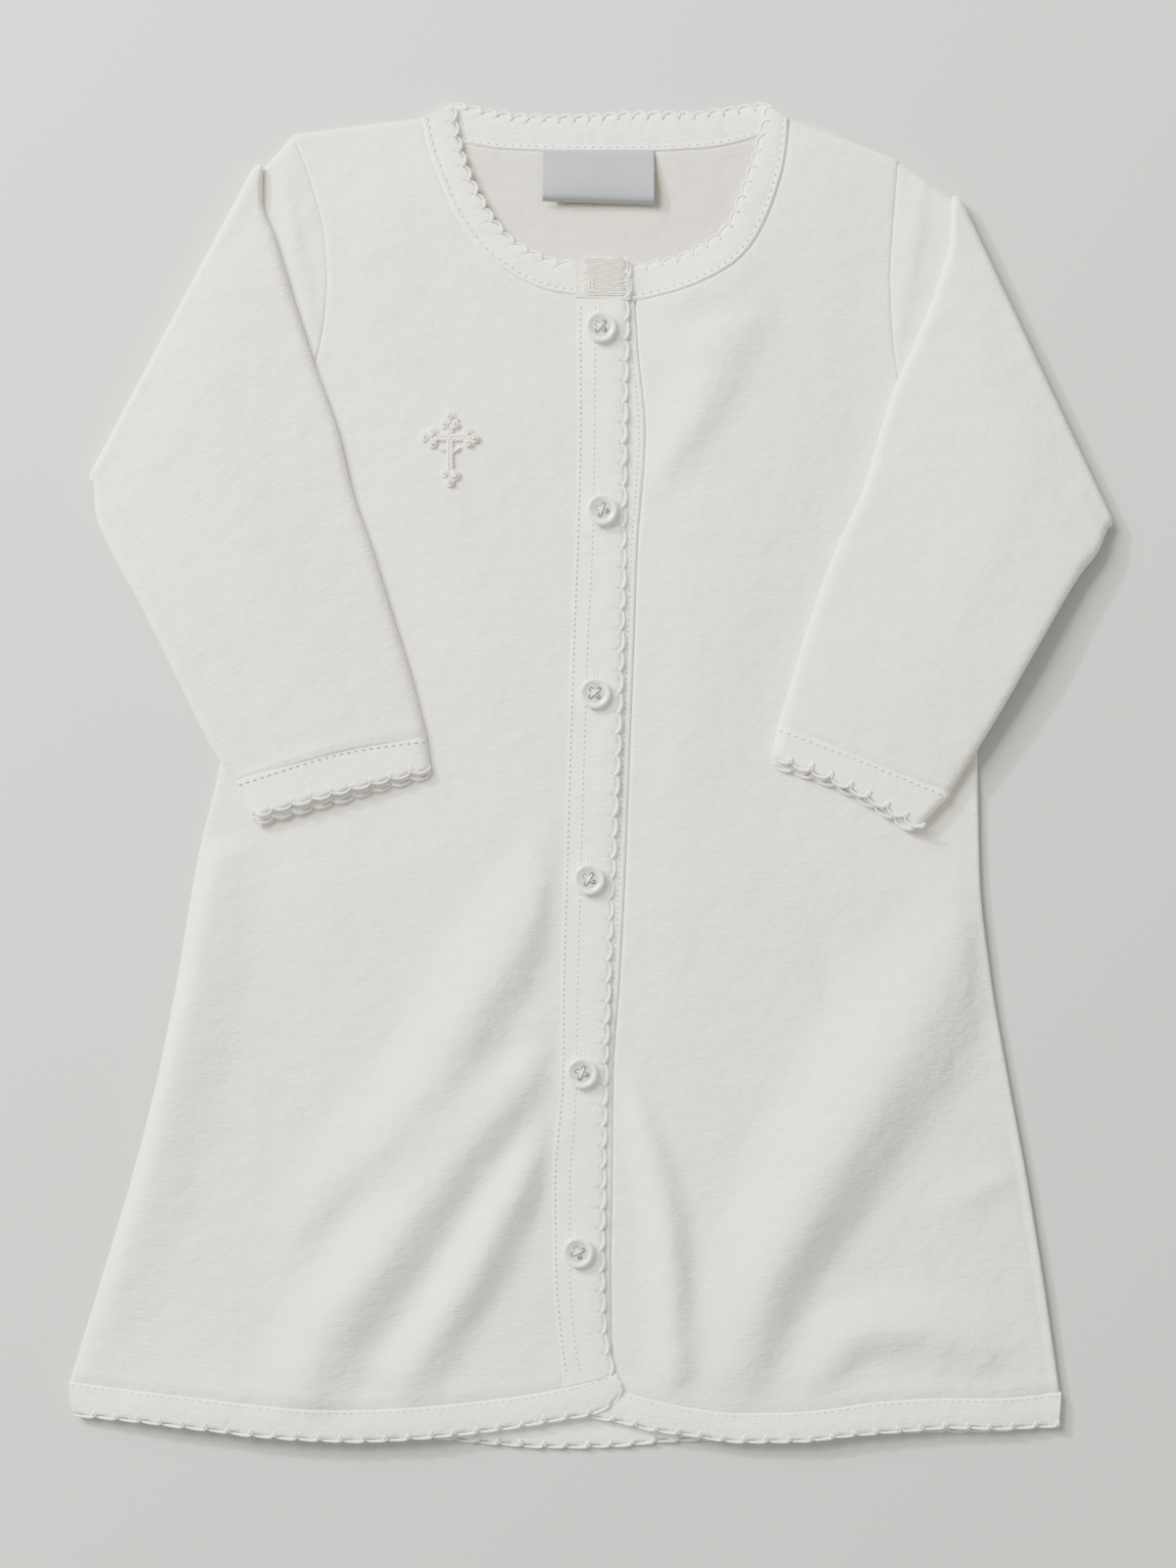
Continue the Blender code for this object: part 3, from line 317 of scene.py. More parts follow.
# The raised rim beside the right side seam, as one fold
RIM_RIGHT = (
    (-133.5, 4.0, 1.6, 9.0, 22.0),
    (-139.5, -31.0, 4.6, 9.0, 25.0),
    (-147.3, -84.0, 5.8, 9.0, 26.0),
    (-159.8, -136.0, 5.2, 9.0, 26.0),
    (-180.5, -205.0, 1.8, 9.0, 22.0),
)
FOLDS_LEFT = (
    (
        (137.0, -52.0, 3.0, 26.0, 22.0),
        (113.0, -92.0, 8.0, 34.0, 30.0),
        (91.0, -128.0, 9.6, 34.0, 27.0),
        (71.5, -162.0, 9.0, 30.0, 22.0),
        (60.5, -185.0, 7.4, 26.0, 18.0),
        (53.0, -211.0, 4.2, 22.0, 16.0),
    ),
    (
        (12.0, -110.0, 2.0, 9.0, 7.0),
        (21.5, -137.0, 4.6, 11.0, 8.0),
        (27.5, -164.0, 5.8, 12.0, 8.5),
        (30.0, -212.0, 4.2, 12.0, 9.0),
    ),
    (
        (80.0, -214.0, 2.4, 12.0, 10.0),
        (96.0, -199.0, 4.6, 18.0, 12.0),
        (115.0, -197.0, 4.6, 20.0, 13.0),
        (138.0, -205.0, 2.4, 16.0, 12.0),
    ),
    (
        (148.0, -144.0, 1.6, 8.0, 6.0),
        (138.0, -147.5, 1.6, 8.0, 7.0),
        (124.0, -155.0, 0.5, 8.0, 8.0),
    ),
    (
        (82.0, -59.0, -0.9, 8.0, 8.0),
        (86.0, -84.0, -0.6, 8.0, 8.0),
    ),
    (
        (20.0, 104.0, 1.8, 16.0, 10.0),
        (38.0, 130.0, 3.4, 20.0, 12.0),
        (56.0, 166.0, 1.6, 18.0, 14.0),
    ),
    (
        (56.0, 162.0, 0.5, 7.0, 16.0),
        (36.0, 155.5, 1.6, 8.0, 16.0),
        (16.0, 154.0, 1.2, 8.0, 14.0),
    ),
    (
        (20.0, 168.0, 1.0, 8.0, 13.0),
        (38.0, 173.0, 2.2, 9.0, 15.0),
        (58.0, 188.0, 0.6, 8.0, 13.0),
    ),
)

LABEL_BOX = ((-18.2, 205.0), (22.0, 222.6))

# Radius and height round a button, as shares of its own, from its underside to its dish
BUTTON_PROFILE = (
    (0.84, 0.0), (1.0, 0.30), (1.02, 0.60), (0.98, 0.88), (0.90, 1.0), (0.79, 0.95), (0.71, 0.82),
    (0.65, 0.74),
)

# Fineness of the shells
FRONT_COLUMNS = 62
BACK_COLUMNS = 76
SLEEVE_COLUMNS = 52
SLEEVE_STATIONS = 78
CREASE_TURNS = 10
LINE_POINTS = 97
CUFF_POINTS = 109
BUTTON_SIDES = 56
HOLE_SIDES = 18

# How cloth is rounded, folded and rippled
FOLD_SCALE = 0.82
CREST = 1.7
BACK_RIPPLE = 0.15
SHARP = 66.0
ROLL = 4.2
LEAN = 0.8
TUCK = 0.4
SCALLOP_DEPTH = {HEM_PITCH: 0.0, NECK_PITCH: 1.0, PLACKET_PITCH: 0.6}
PEAK_REACH = {HEM_PITCH: 1.0, NECK_PITCH: 0.6, PLACKET_PITCH: 0.22}
CUFF_SCALLOP = 0.9
LABEL_TUCK = 2.8
LABEL_CURL = 2.6
LABEL_SLOPE = 0.03
TAB_REACH = 0.8
TAB_RISE = 0.35
TAB_NOTCHES = (-4.4, 2.4, 9.0)
PLACKET_RISE = 0.3
ROPE = 1.4

# Folds of each sleeve's upper and lower layers: x, y, height, lit width, dark width
SLEEVE_FOLDS_RIGHT = (
    (
        (-110.0, 214.0, 0.4, 5.0, 4.0),
        (-106.0, 190.0, 0.9, 6.0, 4.0),
        (-100.0, 160.0, 0.5, 5.0, 4.0),
    ),
    (
        (-150.0, 150.0, 0.3, 20.0, 18.0),
        (-125.0, 95.0, 0.7, 24.0, 20.0),
        (-105.0, 40.0, 0.3, 20.0, 18.0),
    ),
)
SLEEVE_FOLDS_LEFT = (
    (
        (118.0, 212.0, 0.5, 6.0, 4.0),
        (115.0, 190.0, 1.0, 7.0, 5.0),
        (109.0, 158.0, 0.5, 6.0, 4.0),
    ),
    (
        (160.0, 130.0, 0.3, 22.0, 18.0),
        (140.0, 80.0, 0.7, 24.0, 20.0),
        (118.0, 30.0, 0.3, 20.0, 18.0),
    ),
)

# Two rows of stitches down the buttonhole band: x of the first, x of the second, y
PLACKET_STITCHES = (
    (-4.6, 0.7, 168.0),
    (-4.6, 0.4, 123.0),
    (-5.6, -0.4, 81.0),
    (-6.7, -1.8, 53.0),
    (-8.1, -3.2, 11.0),
    (-9.5, -4.6, -38.0),
    (-10.5, -5.6, -73.0),
    (-10.9, -6.0, -108.0),
    (-12.3, -7.0, -126.0),
    (-13.7, -8.4, -143.0),
    (-13.3, -8.4, -178.0),
    (-11.6, -7.0, -199.0),
    (-9.8, -4.9, -213.0),
)
DOT_STITCH = 2.1
HEM_STITCH = 2.7
NECK_STITCH = 2.9

# x, y of each button and its own turn in degrees
BUTTON_TURNS = (
    (2.8, 159.6, 4.0),
    (3.2, 94.5, 27.0),
    (0.7, 29.2, -3.0),
    (-1.4, -37.0, 12.0),
    (-3.9, -106.0, 24.0),
    (-5.3, -169.8, -22.0),
)

# Across a thread bar: share of the way from the middle to its hole, height over the button's rest
THREAD_BAR = (
    (-0.95, 0.5), (-0.85, 1.1), (-0.5, 1.55), (0.0, 1.6), (0.5, 1.55), (0.85, 1.1), (0.95, 0.5),
)

# The neckband end's free side, which its edging follows
TAB_SIDE = (
    (12.4, 185.2), (13.7, 181.0), (14.1, 177.0), (13.8, 173.0), (13.2, 170.4),
)

# The cross: heading in degrees and length of each arm, and the round knots of a bud at its end,
# as aside of the arm, on from its end, and size
CROSS_PLACE = (-51.0, 120.4)
CROSS_ARMS = ((0.0, 5.0), (90.0, 6.4), (180.0, 13.4), (270.0, 6.6))
BUD_KNOTS = (
    (-1.9, -0.2, 1.45),
    (1.9, -0.2, 1.45),
    (0.0, 2.4, 1.5),
    (0.0, 0.4, 1.0),
)
LEAF_KNOTS = ((-2.4, 4.4), (2.4, 4.4))
KNOT_RINGS = 25

# Rasters of the fronts' undersides: their step, reach and blur
MAP_STEP = 1.5
MAP_LEFT = -200.0
MAP_BOTTOM = -250.0
MAP_COLUMNS = 268
MAP_ROWS = 332
MAP_BLUR = 1.9
UNEVEN_SHARE = 0.8
RIPPLE_SEED = 5
LEFT_SEED = 6
# size of the hollows, how deep they are
UNEVENNESS = ((14.0, 0.22), (6.0, 0.05), (3.0, 0.012))

# Distances from an edge at which a fine grid has its first rows
CLOTH_STEPS = (0.0, 0.35, 0.8, 1.4, 2.1, 3.0, 4.2, 5.6)
BAND_STEPS = (0.0, 0.3, 0.7, 1.3, 2.1)
CLOTH_STEP = 2.4
BACK_STEP = 4.0
BAND_COLUMNS = 6
CUFF_COLUMNS = 4
SCALLOP_SAMPLES = 12
CREST_SAMPLES = 4
SLEEVE_OUT = np.concatenate([[0.0, 0.01, 0.025, 0.045, 0.07], np.linspace(0.1, 0.97, 26)])
JUST_INSIDE = 1.0 - 1e-9
TINY = 1e-9
FAR = 1e9

# Rounded edges: how wide and how deep
ARMHOLE_SIDE_ROUND = (2.0, 0.75)
NECK_ROUND = (1.9, 1.0)
SHOULDER_ROUND = (3.0, 0.8)
HEM_ROUND = (1.8, 0.45)
PLACKET_ROUND = (1.4, 0.85)
BACK_ROUND = (1.5, 0.6)
BAND_EDGE_ROUND = (1.6, 0.8)
UNDERLAP_ROUND = (1.2, 0.8)
ARMHOLE_ROUND = (1.8, 0.35)
CUFF_SEAM_ROUND = (1.8, 0.4)
CUFF_START_ROUND = (2.4, 0.3)
CUFF_EDGE_ROUND = (1.4, 0.7)
BAND_SEAM_WIDTH = 1.5
RIM_RIGHT_WIDTH = 3.0
RIM_LEFT_WIDTH = 1.3
RIM_WALL = 0.3

# Ridges and grooves beside an edge: how far from it, how wide and how high
SEAM_SWELL = (4.0, 2.0, 0.3)
SIDE_SEAM_GROOVE = (3.5, 0.7, 0.45)
BAND_BELLY = (4.5, 3.5, 0.3)
NECK_PIPING = (0.7, 0.6, 0.5)
NECK_GROOVE = (1.9, 0.5, 0.35)
UNDERLAP_GROOVE = (2.3, 0.6, 0.2)

# How deep each kind of band is rounded at its seam
NECK_SEAM_DEPTH = 0.9
PLACKET_SEAM_DEPTH = 0.06
HEM_SEAM_DEPTH = 0.5

# How soon one form passes into another
ARMPIT_RAMP = 8.0
NECK_RAMP = 6.0
SIDE_SEAM_TOP = -115.0
SIDE_SEAM_RAMP = 12.0
BACK_TOP_BEND = 60.0
RIPPLE_ACROSS = 17.0
RIPPLE_ALONG = 29.0
RIPPLE_RAMP = 15.0
PLACKET_RISE_RAMP = 60.0
STEP_RAMP = 5.0
RELIEF_RAMP = 4.0
STATION_RAMP = 0.06
CUFF_LONGER = 0.45
CUFF_LINE_POINTS = 9

# The thinnest that cloth and folded tubes get, and how far in a tube's inner wall is
LEAST_WALL = 0.2
LEAST_HALF = 0.02
SLEEVE_INNER = 1.0
CUFF_INNER = 1.1

# The cloth's edge along the edging, as insets and shares of a scallop
SCALLOP_ROUND = 1.2
EDGE_INSET = 0.75
PINCH_SHARE = 0.05
SLIT_INSET = 0.5
SLIT_RAMPS = (0.06, 0.12, 0.68, 0.2)
PINCH_WIDTH = 0.1
PINCH_REACH = 1.3
PINCH_DEPTH = 0.3

# One scallop of the edging: a long strand beside the cloth's edge, then a peak stitched into the cloth
# share of the scallop, inset from the edge, height over the underside, radius
LONG_STRAND = (
    (0.03, 1.00, 0.80, 0.26),
    (0.14, 0.62, 0.75, 0.36),
    (0.34, 0.48, 0.70, 0.44),
    (0.56, 0.46, 0.75, 0.52),
    (0.76, 0.56, 0.90, 0.62),
    (0.92, 0.85, 1.10, 0.60),
    (1.03, 1.35, 1.20, 0.34),
)
PEAK_STRAND = (
    (0.84, 0.95, 0.95, 0.40),
    (0.92, 1.60, 1.40, 0.50),
    (0.97, 2.40, 1.60, 0.44),
    (1.00, 3.00, 1.60, 0.26),
    (1.01, 2.30, 1.60, 0.40),
    (1.04, 1.40, 1.40, 0.44),
    (1.08, 0.80, 1.05, 0.30),
)
# What a strand shrinks towards where the peaks are short, and how uneven the stitches are
STRAND_INSET = 0.9
STRAND_LEVEL = 0.95
STRAND_RADIUS = 0.5
PEAK_THIN = (0.7, 0.3)
UNEVEN_ALONG = 0.02
UNEVEN_INSET = 0.1
UNEVEN_RADIUS = 0.08
CUFF_SEED = 20
TAB_EDGE_SEED = 30
TAB_EDGE_REACH = 0.4
TAB_EDGE_DEPTH = 0.4
TAB_EDGE_WIDTH = 9.0

# Along a stitch: place as a share of its length, height, share of its radius
STITCH_SHAPE = (
    (-0.5, -0.22, 0.4),
    (-0.32, 0.0, 0.9),
    (0.0, 0.06, 1.0),
    (0.32, 0.0, 0.9),
    (0.5, -0.22, 0.4),
)
STRAND_SIDES = 6
STITCH_SIDES = 5
KNOT_SIDES = 8
LINE_SAMPLES = 160
PLACKET_SAMPLES = 200
UNDERLAP_SAMPLES = 240

# How a row of stitches lies: inset from the seam, and how far it sinks into the band
HEM_INSET = 0.75
NECK_BACK_INSET = 1.6
CUFF_STITCH_INSET = 0.45
HEM_SUNK = 0.2
DOT_SUNK = 0.02
NECK_SUNK = 0.12
CUFF_SUNK = 0.05

# The knit's turn on each sleeve, and the gap between the left front and its band
TURN_RIGHT = -0.35
TURN_LEFT = 0.42
PLACKET_CLEAR = 0.05

# Buttons and their thread
BUTTON_RINGS = 25
BUTTON_SHARP = 42.0
DRILL_PAST = 1.0
DISH_SHARE = 0.66
DISH_BOTTOM = 0.3
BAR_RADIUS = 0.3
BAR_CROSSING = 0.2

# Label
LABEL_ACROSS = np.concatenate([[0.0, 0.15, 0.4], np.linspace(0.8, 39.4, 44), [39.8, 40.05, 40.2]])
LABEL_STEPS = (0.0, 0.15, 0.4, 0.8, 1.3, 1.9, 2.6)
LABEL_ROWS = 24
LABEL_WALL = 0.45
LABEL_ROUND = (0.4, 0.3)
LABEL_LIFT_SHARE = 1.25
LABEL_RIPPLE = 0.2
LABEL_RIPPLE_WIDTH = 6.0
LABEL_SUNK = 1.1
LABEL_SUNK_RAMP = 3.5
LABEL_CURL_DEPTH = 2.2

# The neckband's stitched end; each pair is a least value and what chance adds to it
TAB_SEED = 41
TAB_SAMPLES = 60
TAB_COLUMNS = 8
TAB_RINGS = 9
TAB_NOTCH = 1.2
TAB_NOTCH_WIDTH = 0.8
TAB_ROUND = 0.12
TAB_ROUND_STEPS = 1.2
TAB_THREADS = (171.4, 184.9, 0.75)
TAB_LEFT = (-5.1, 1.8)
TAB_RIGHT = (10.9, 1.5)
TAB_LEVEL = (0.06, 0.08)
TAB_RADIUS = (0.27, 0.04)
TAB_WANDER = 0.13
TAB_DIP = 0.3
UPRIGHTS = (-1.2, 0.0)
UPRIGHT_SPAN = (172.0, 177.2)
UPRIGHT_LEVEL = 0.2
UPRIGHT_WANDER = 0.12
UPRIGHT_RADIUS = 0.34

# Knots of the cross; sizes of bullion knots are length and radius
CROSS_SEED = 42
MIDDLE_KNOT = 1.4
BUD_SIZE = 1.3
BUD_SWAY = 0.15
LEAF_HEADING = 25.0
LEAF_SIZE = (3.4, 0.75)
ARM_SIZE = (3.2, 0.72)
ARM_START = 1.6
ARM_END = 1.2
ARM_STEP = 1.5
ARM_ASIDE = 0.55
ARM_SPLAY = 40.0
BULLION_SWAY = 8.0
BULLION_WRAP = 0.13
BULLION_TAPER = (0.45, 0.55)
BULLION_ARCH = 0.4
KNOT_TURNS = 1.7
KNOT_CLOSING = 0.95
KNOT_LEVEL = 0.15
KNOT_RISE = 0.7
KNOT_THICK = 0.27

# Buttonhole lips: side and reach from the button's middle, then one stitch's place across, height, radius
LIP_REACH = ((1.0, 9.2), (-1.0, 8.0))
LIP_SHAPE = (
    (-0.55, -0.2, 0.16),
    (-0.2, 0.06, 0.24),
    (0.2, 0.06, 0.24),
    (0.55, -0.2, 0.16),
)
LIP_ASIDE = 0.62
LIP_UNDER = 0.6
LIP_PITCH = 0.55

# Knit ribs in millimetres, and colours: each material drifts between two near tones
KNIT_WALE = 0.95
KNIT_COURSE = 0.85
KNIT_TONES = ((0.893, 0.878, 0.752), (0.82, 0.798, 0.652))
# The back is the same knit, darker as painted shade: it shows only deep in the neck opening
BACK_SHADE_TONES = ((0.70, 0.655, 0.53), (0.67, 0.625, 0.49))
BAND_TONES = ((0.945, 0.934, 0.83), (0.92, 0.905, 0.785))
EDGING_TONES = ((0.95, 0.94, 0.87), (0.86, 0.848, 0.765))
# The stitches' grey is painted shade: white thread coloured as the shadowed needle holes between stitches
STITCH_SHADE_TONES = ((0.57, 0.565, 0.545), (0.47, 0.465, 0.445))
# A fainter painted shade of needle holes, for the placket's dots and the left cuff's row
FAINT_STITCH_SHADE_TONES = ((0.79, 0.775, 0.72), (0.71, 0.695, 0.64))
CREAM_TONES = ((0.862, 0.842, 0.685), (0.782, 0.757, 0.59))
THREAD_TONES = ((0.97, 0.94, 0.81), (0.84, 0.80, 0.65))
SATIN_TONES = ((0.31, 0.313, 0.329), (0.28, 0.283, 0.298))
RIM_TONES = ((0.96, 0.955, 0.93), (0.88, 0.875, 0.84))
# The dish is the rim's pearl darkened as painted shade in the button's hollow
DISH_SHADE_TONES = ((0.64, 0.63, 0.57), (0.52, 0.51, 0.455))
FLOOR_TONES = ((0.572, 0.58, 0.536), (0.55, 0.558, 0.514))

# What each material is like; patch is the size of its drift of colour, in millimetres
KNIT_FINISH = {"patch": 45.0, "roughness": 0.88, "sheen": 0.25, "specular": 0.25}
THREAD_FINISH = {"patch": 3.0, "roughness": 0.5, "sheen": 0.2, "specular": 0.4}
SATIN_FINISH = {"patch": 9.0, "roughness": 0.36, "sheen": 0.1}
PEARL_FINISH = {"patch": 3.0, "roughness": 0.12, "coat": 1.0, "specular": 0.9}
FLOOR_FINISH = {"patch": 400.0, "roughness": 0.75, "specular": 0.2}
SHEEN_ROUGHNESS = 0.5
PATCH_DETAIL = 3.0

# Fine relief: its height in millimetres and its strength, then sizes and details of its noise
KNIT_RELIEF = (0.13, 0.85)
THREAD_RELIEF = (0.12, 0.6)
SATIN_RELIEF = (0.04, 0.5)
PEARL_RELIEF = (0.09, 0.4)
STREAKS = (1.1, 3.0)
HANDLE = (9.0, 4.0)
TWIST = (0.35, 3.0)
PEARL_WAVES = (1.6, 2.0)
STREAK_STRETCH = (0.3, 1.0, 1.0)
LOOP_SHARE = 0.35
STREAK_SHARE = 1.8
HANDLE_SHARE = 7.0
SATIN_RIBS = (("X", 0.42), ("Y", 0.35))
WAVE_UNIT = 20.0

# Lamps
# name, direction from the gown, distance and size in metres, power
LAMPS = (
    ("key", (-0.85, 0.85, 0.82), 2.0, 1.1, 102.0),
    ("edge", (-0.9, 0.75, 0.55), 2.5, 0.09, 72.0),
    ("fill", (0.8, -0.6, 1.2), 2.4, 1.6, 2.8),
)
SKY_STRENGTH = 0.53

# Floor and camera, in millimetres
FLOOR_SIZE = 4000.0
FLOOR_LEVEL = -0.1
CAMERA_PLACE = (-1.75, -3.15)
CAMERA_LENS = 50.0
SENSOR = 36.0
FRAME_LENGTH = 560.0
CAMERA_LEVEL = 3.0

# The cut of each other sheet in metres: width, or all round on a tube, then length, how it is held
# and what it rests on
CUTS = {
    "back": (0.360, 0.475, "laid", []),
    "front_right": (0.200, 0.475, "laid", ["back"]),
    "front_left": (0.180, 0.475, "laid", ["back"]),
    "sleeve_right": (0.240, 0.300, "folded", ["back", "front_right"]),
    "sleeve_left": (0.240, 0.300, "folded", ["back", "front_left"]),
    "cuff_right": (0.155, 0.016, "laid", ["front_right"]),
    "cuff_left": (0.155, 0.016, "laid", ["front_left"]),
    "neckband_right": (0.090, 0.016, "laid", ["back"]),
    "neckband_left": (0.100, 0.016, "laid", ["back"]),
    "neckband_back": (0.150, 0.018, "laid", []),
    "placket_right": (0.020, 0.395, "laid", ["placket_left"]),
    "placket_left": (0.020, 0.395, "laid", ["back"]),
    "hem_right": (0.205, 0.018, "laid", ["back"]),
    "hem_left": (0.185, 0.018, "laid", ["back"]),
    "hem_back": (0.365, 0.024, "laid", []),
}


def soft(amount):
    """A ramp from 0 to 1 that starts and ends level."""
    held = np.clip(amount, 0.0, 1.0)
    return held * held * (3.0 - 2.0 * held)


def through(places, values, wanted):
    """A smooth curve through the values that never overshoots between two of them."""
    places = np.asarray(places, float)
    values = np.asarray(values, float)
    wanted = np.asarray(wanted, float)
    step = np.diff(places)
    slope = np.diff(values) / step
    tangent = np.empty_like(values)
    tangent[0] = slope[0]
    tangent[-1] = slope[-1]
    product = slope[:-1] * slope[1:]
    total = slope[:-1] + slope[1:]
    even = np.where(np.abs(total) > TINY, total, 1.0)
    tangent[1:-1] = np.where(product > 0.0, 2.0 * product / even, 0.0)
    at = np.clip(np.searchsorted(places, wanted, side="right") - 1, 0, len(step) - 1)
    t = np.clip((wanted - places[at]) / step[at], 0.0, 1.0)
    rise = t * t * (3.0 - 2.0 * t)
    return (
        values[at] * (1.0 - rise)
        + values[at + 1] * rise
        + step[at] * tangent[at] * t * (1.0 - t) ** 2
        - step[at] * tangent[at + 1] * t * t * (1.0 - t)
    )


def lengths(points):
    """Distance run along a line of points, from 0."""
    points = np.asarray(points, float)
    return np.concatenate([[0.0], np.cumsum(np.hypot(*np.diff(points[:, :2], axis=0).T))])


def rows_at(table, run, wanted):
    """A table's columns, each read smoothly at the wanted places along it."""
    table = np.asarray(table, float)
    return np.column_stack([through(run, column, wanted) for column in table.T])


def along(line, count):
    """Evenly spaced points on a smooth line."""
    run = lengths(line)
    return rows_at(line, run, np.linspace(0.0, run[-1], count))


def band_rows(table, count, side=2):
    """Rows of a band, evenly spaced along its free edge, or along its seam with side 0."""
    table = np.asarray(table, float)
    run = lengths(table[:, side:side + 2])
    return rows_at(table, run, np.linspace(0.0, run[-1], count))


def ways_across(rows):
    """The direction across a band at each of its rows, from its seam to its free edge."""
    way = rows[:, 2:] - rows[:, :2]
    way /= np.linalg.norm(way, axis=1)[:, None]
    return way


def nearest_on(ax, ay, bx, by, x, y):
    """The share of a segment that is nearest to each place, and the place's offset from there."""
    dx, dy = bx - ax, by - ay
    t = np.clip(((x - ax) * dx + (y - ay) * dy) / (dx * dx + dy * dy), 0.0, 1.0)
    return t, x - ax - t * dx, y - ay - t * dy


def distance_to(line, x, y):
    """Distance of each place from a line of points."""
    nearest = np.full(np.shape(x), FAR)
    for start, end in zip(line, line[1:]):
        _, off_x, off_y = nearest_on(*start, *end, x, y)
        nearest = np.minimum(nearest, np.hypot(off_x, off_y))
    return nearest


def is_inside(outline, x, y):
    """Whether each place is inside a closed outline."""
    within = np.zeros(np.shape(x), bool)
    for (ax, ay), (bx, by) in zip(outline, outline[1:] + outline[:1]):
        if ay == by:
            continue
        crosses = (ay > y) != (by > y)
        within ^= crosses & (x < ax + (y - ay) * (bx - ax) / (by - ay))
    return within


def free_distance(pressed, x, y, far_x):
    """How far a place is on the free side of the line that holds the front down, or 0."""
    top = pressed[0][1] + FAR_ABOVE
    outline = tuple(pressed) + ((far_x, pressed[-1][1]), (far_x, top), (pressed[0][0], top))
    return np.where(is_inside(outline, x, y), distance_to(pressed, x, y), 0.0)


def crest_height(crest, x, y):
    """Height of one fold, whose two flanks have their own widths."""
    rows = along(crest, CREST_SAMPLES * len(crest))
    nearest = np.full(np.shape(x), FAR)
    height = np.zeros(np.shape(x))
    for (ax, ay, ah, al, ad), (bx, by, bh, bl, bd) in zip(rows, rows[1:]):
        t, off_x, off_y = nearest_on(ax, ay, bx, by, x, y)
        distance = np.hypot(off_x, off_y)
        turn = (off_x - off_y) / (math.sqrt(2.0) * np.maximum(distance, 1e-6))
        lit, dark = al + (bl - al) * t, ad + (bd - ad) * t
        width = lit + (dark - lit) * soft(0.5 + 0.5 * turn)
        bump = np.clip(1.0 - (distance / width) ** CREST, 0.0, 1.0) ** 2
        closer = distance < nearest
        nearest = np.where(closer, distance, nearest)
        height = np.where(closer, (ah + (bh - ah) * t) * bump, height)
    return height


def fold_height(folds, x, y):
    """Height of several folds together."""
    return FOLD_SCALE * sum(crest_height(crest, x, y) for crest in folds)


def side_of(table, column, y):
    """The x of a placket band's seam or edge at each y."""
    rows = np.asarray(table, float)[::-1]
    places = rows[:, column + 1]
    return through(places, rows[:, column], np.clip(y, places[0], places[-1]))


def puff_height(free, y):
    """How far a front stands up at a distance from what holds it down."""
    return PUFF * soft(free / PUFF_WIDTH) * soft((SHOULDER_Y - y) / SHOULDER_RAMP)


def under_right(x, y):
    """Height of the underside of the right front, its bands and its neckband."""
    free = free_distance(PRESSED_RIGHT, x, y, FAR_X)
    beside = side_of(PLACKET_RIGHT, 0, y) - x
    folds = fold_height(FOLDS_RIGHT, x, y) * soft(free / PRESS_RAMP) * soft(beside / OVERLAP_RAMP)
    rim = fold_height((RIM_RIGHT,), x, y) * soft(free / RIM_RAMP)
    return FRONT_REST + puff_height(free, y) + folds + rim


def under_left(x, y):
    """Height of the underside of the left front, held up beside the placket by the layers there."""
    free = free_distance(PRESSED_LEFT, x, y, -FAR_X)
    beside = x - side_of(PLACKET_LEFT, 2, y)
    folds = fold_height(FOLDS_LEFT, x, y) * soft(free / PRESS_RAMP) * soft(beside / UNDERLAP_RAMP)
    height = FRONT_REST + puff_height(free, y) * soft(beside / UNDERLAP_PUFF_RAMP) + folds
    return height + PLACKET_RISE * soft(1.0 - beside / PLACKET_RISE_RAMP)


def blurred(grid, width):
    """A raster smoothed by a bell of the given width, in millimetres."""
    reach = math.ceil(3.0 * width / MAP_STEP)
    weights = np.exp(-0.5 * (np.arange(-reach, reach + 1) * MAP_STEP / width) ** 2)
    weights /= weights.sum()
    padded = np.pad(grid, reach, mode="edge")
    for axis in (0, 1):
        padded = np.apply_along_axis(np.convolve, axis, padded, weights, mode="same")
    return padded[reach:-reach, reach:-reach]


def make_map(height, blur):
    """A raster of a height function over the whole gown, smoothed as cloth is."""
    x = MAP_LEFT + MAP_STEP * np.arange(MAP_COLUMNS)
    y = MAP_BOTTOM + MAP_STEP * np.arange(MAP_ROWS)
    return blurred(height(*np.meshgrid(x, y)), blur)


def read_map(raster, x, y):
    """The raster's height at any places, between its own points."""
    across = np.clip((np.asarray(x) - MAP_LEFT) / MAP_STEP, 0.0, MAP_COLUMNS - 1.001)
    up = np.clip((np.asarray(y) - MAP_BOTTOM) / MAP_STEP, 0.0, MAP_ROWS - 1.001)
    column, row = across.astype(int), up.astype(int)
    u, v = across - column, up - row
    low = raster[row, column] * (1.0 - u) + raster[row, column + 1] * u
    high = raster[row + 1, column] * (1.0 - u) + raster[row + 1, column + 1] * u
    return low * (1.0 - v) + high * v


def uneven(seed):
    """A raster of soft hollows and rises of several sizes, as cloth has after it is handled."""
    rng = np.random.default_rng(seed)
    total = np.zeros((MAP_ROWS, MAP_COLUMNS))
    for size, height in UNEVENNESS:
        layer = blurred(rng.standard_normal(total.shape), size)
        total += height * layer / layer.std()
    return total


RIPPLE_MAP = uneven(RIPPLE_SEED)
RIGHT_MAP = make_map(under_right, MAP_BLUR) + UNEVEN_SHARE * RIPPLE_MAP
LEFT_MAP = make_map(under_left, MAP_BLUR) + UNEVEN_SHARE * uneven(LEFT_SEED)

# The tables' own origin, seen from the frame's, which is the middle of the gown's box
SHIFT = np.array(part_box("label")[0])[:2] / MM - np.array(LABEL_BOX[0])


def on_right(x, y):
    return read_map(RIGHT_MAP, x, y)


def on_left(x, y):
    return read_map(LEFT_MAP, x, y)


def lying(x, y):
    """The surface that the gown lies on."""
    return np.zeros(np.shape(x))


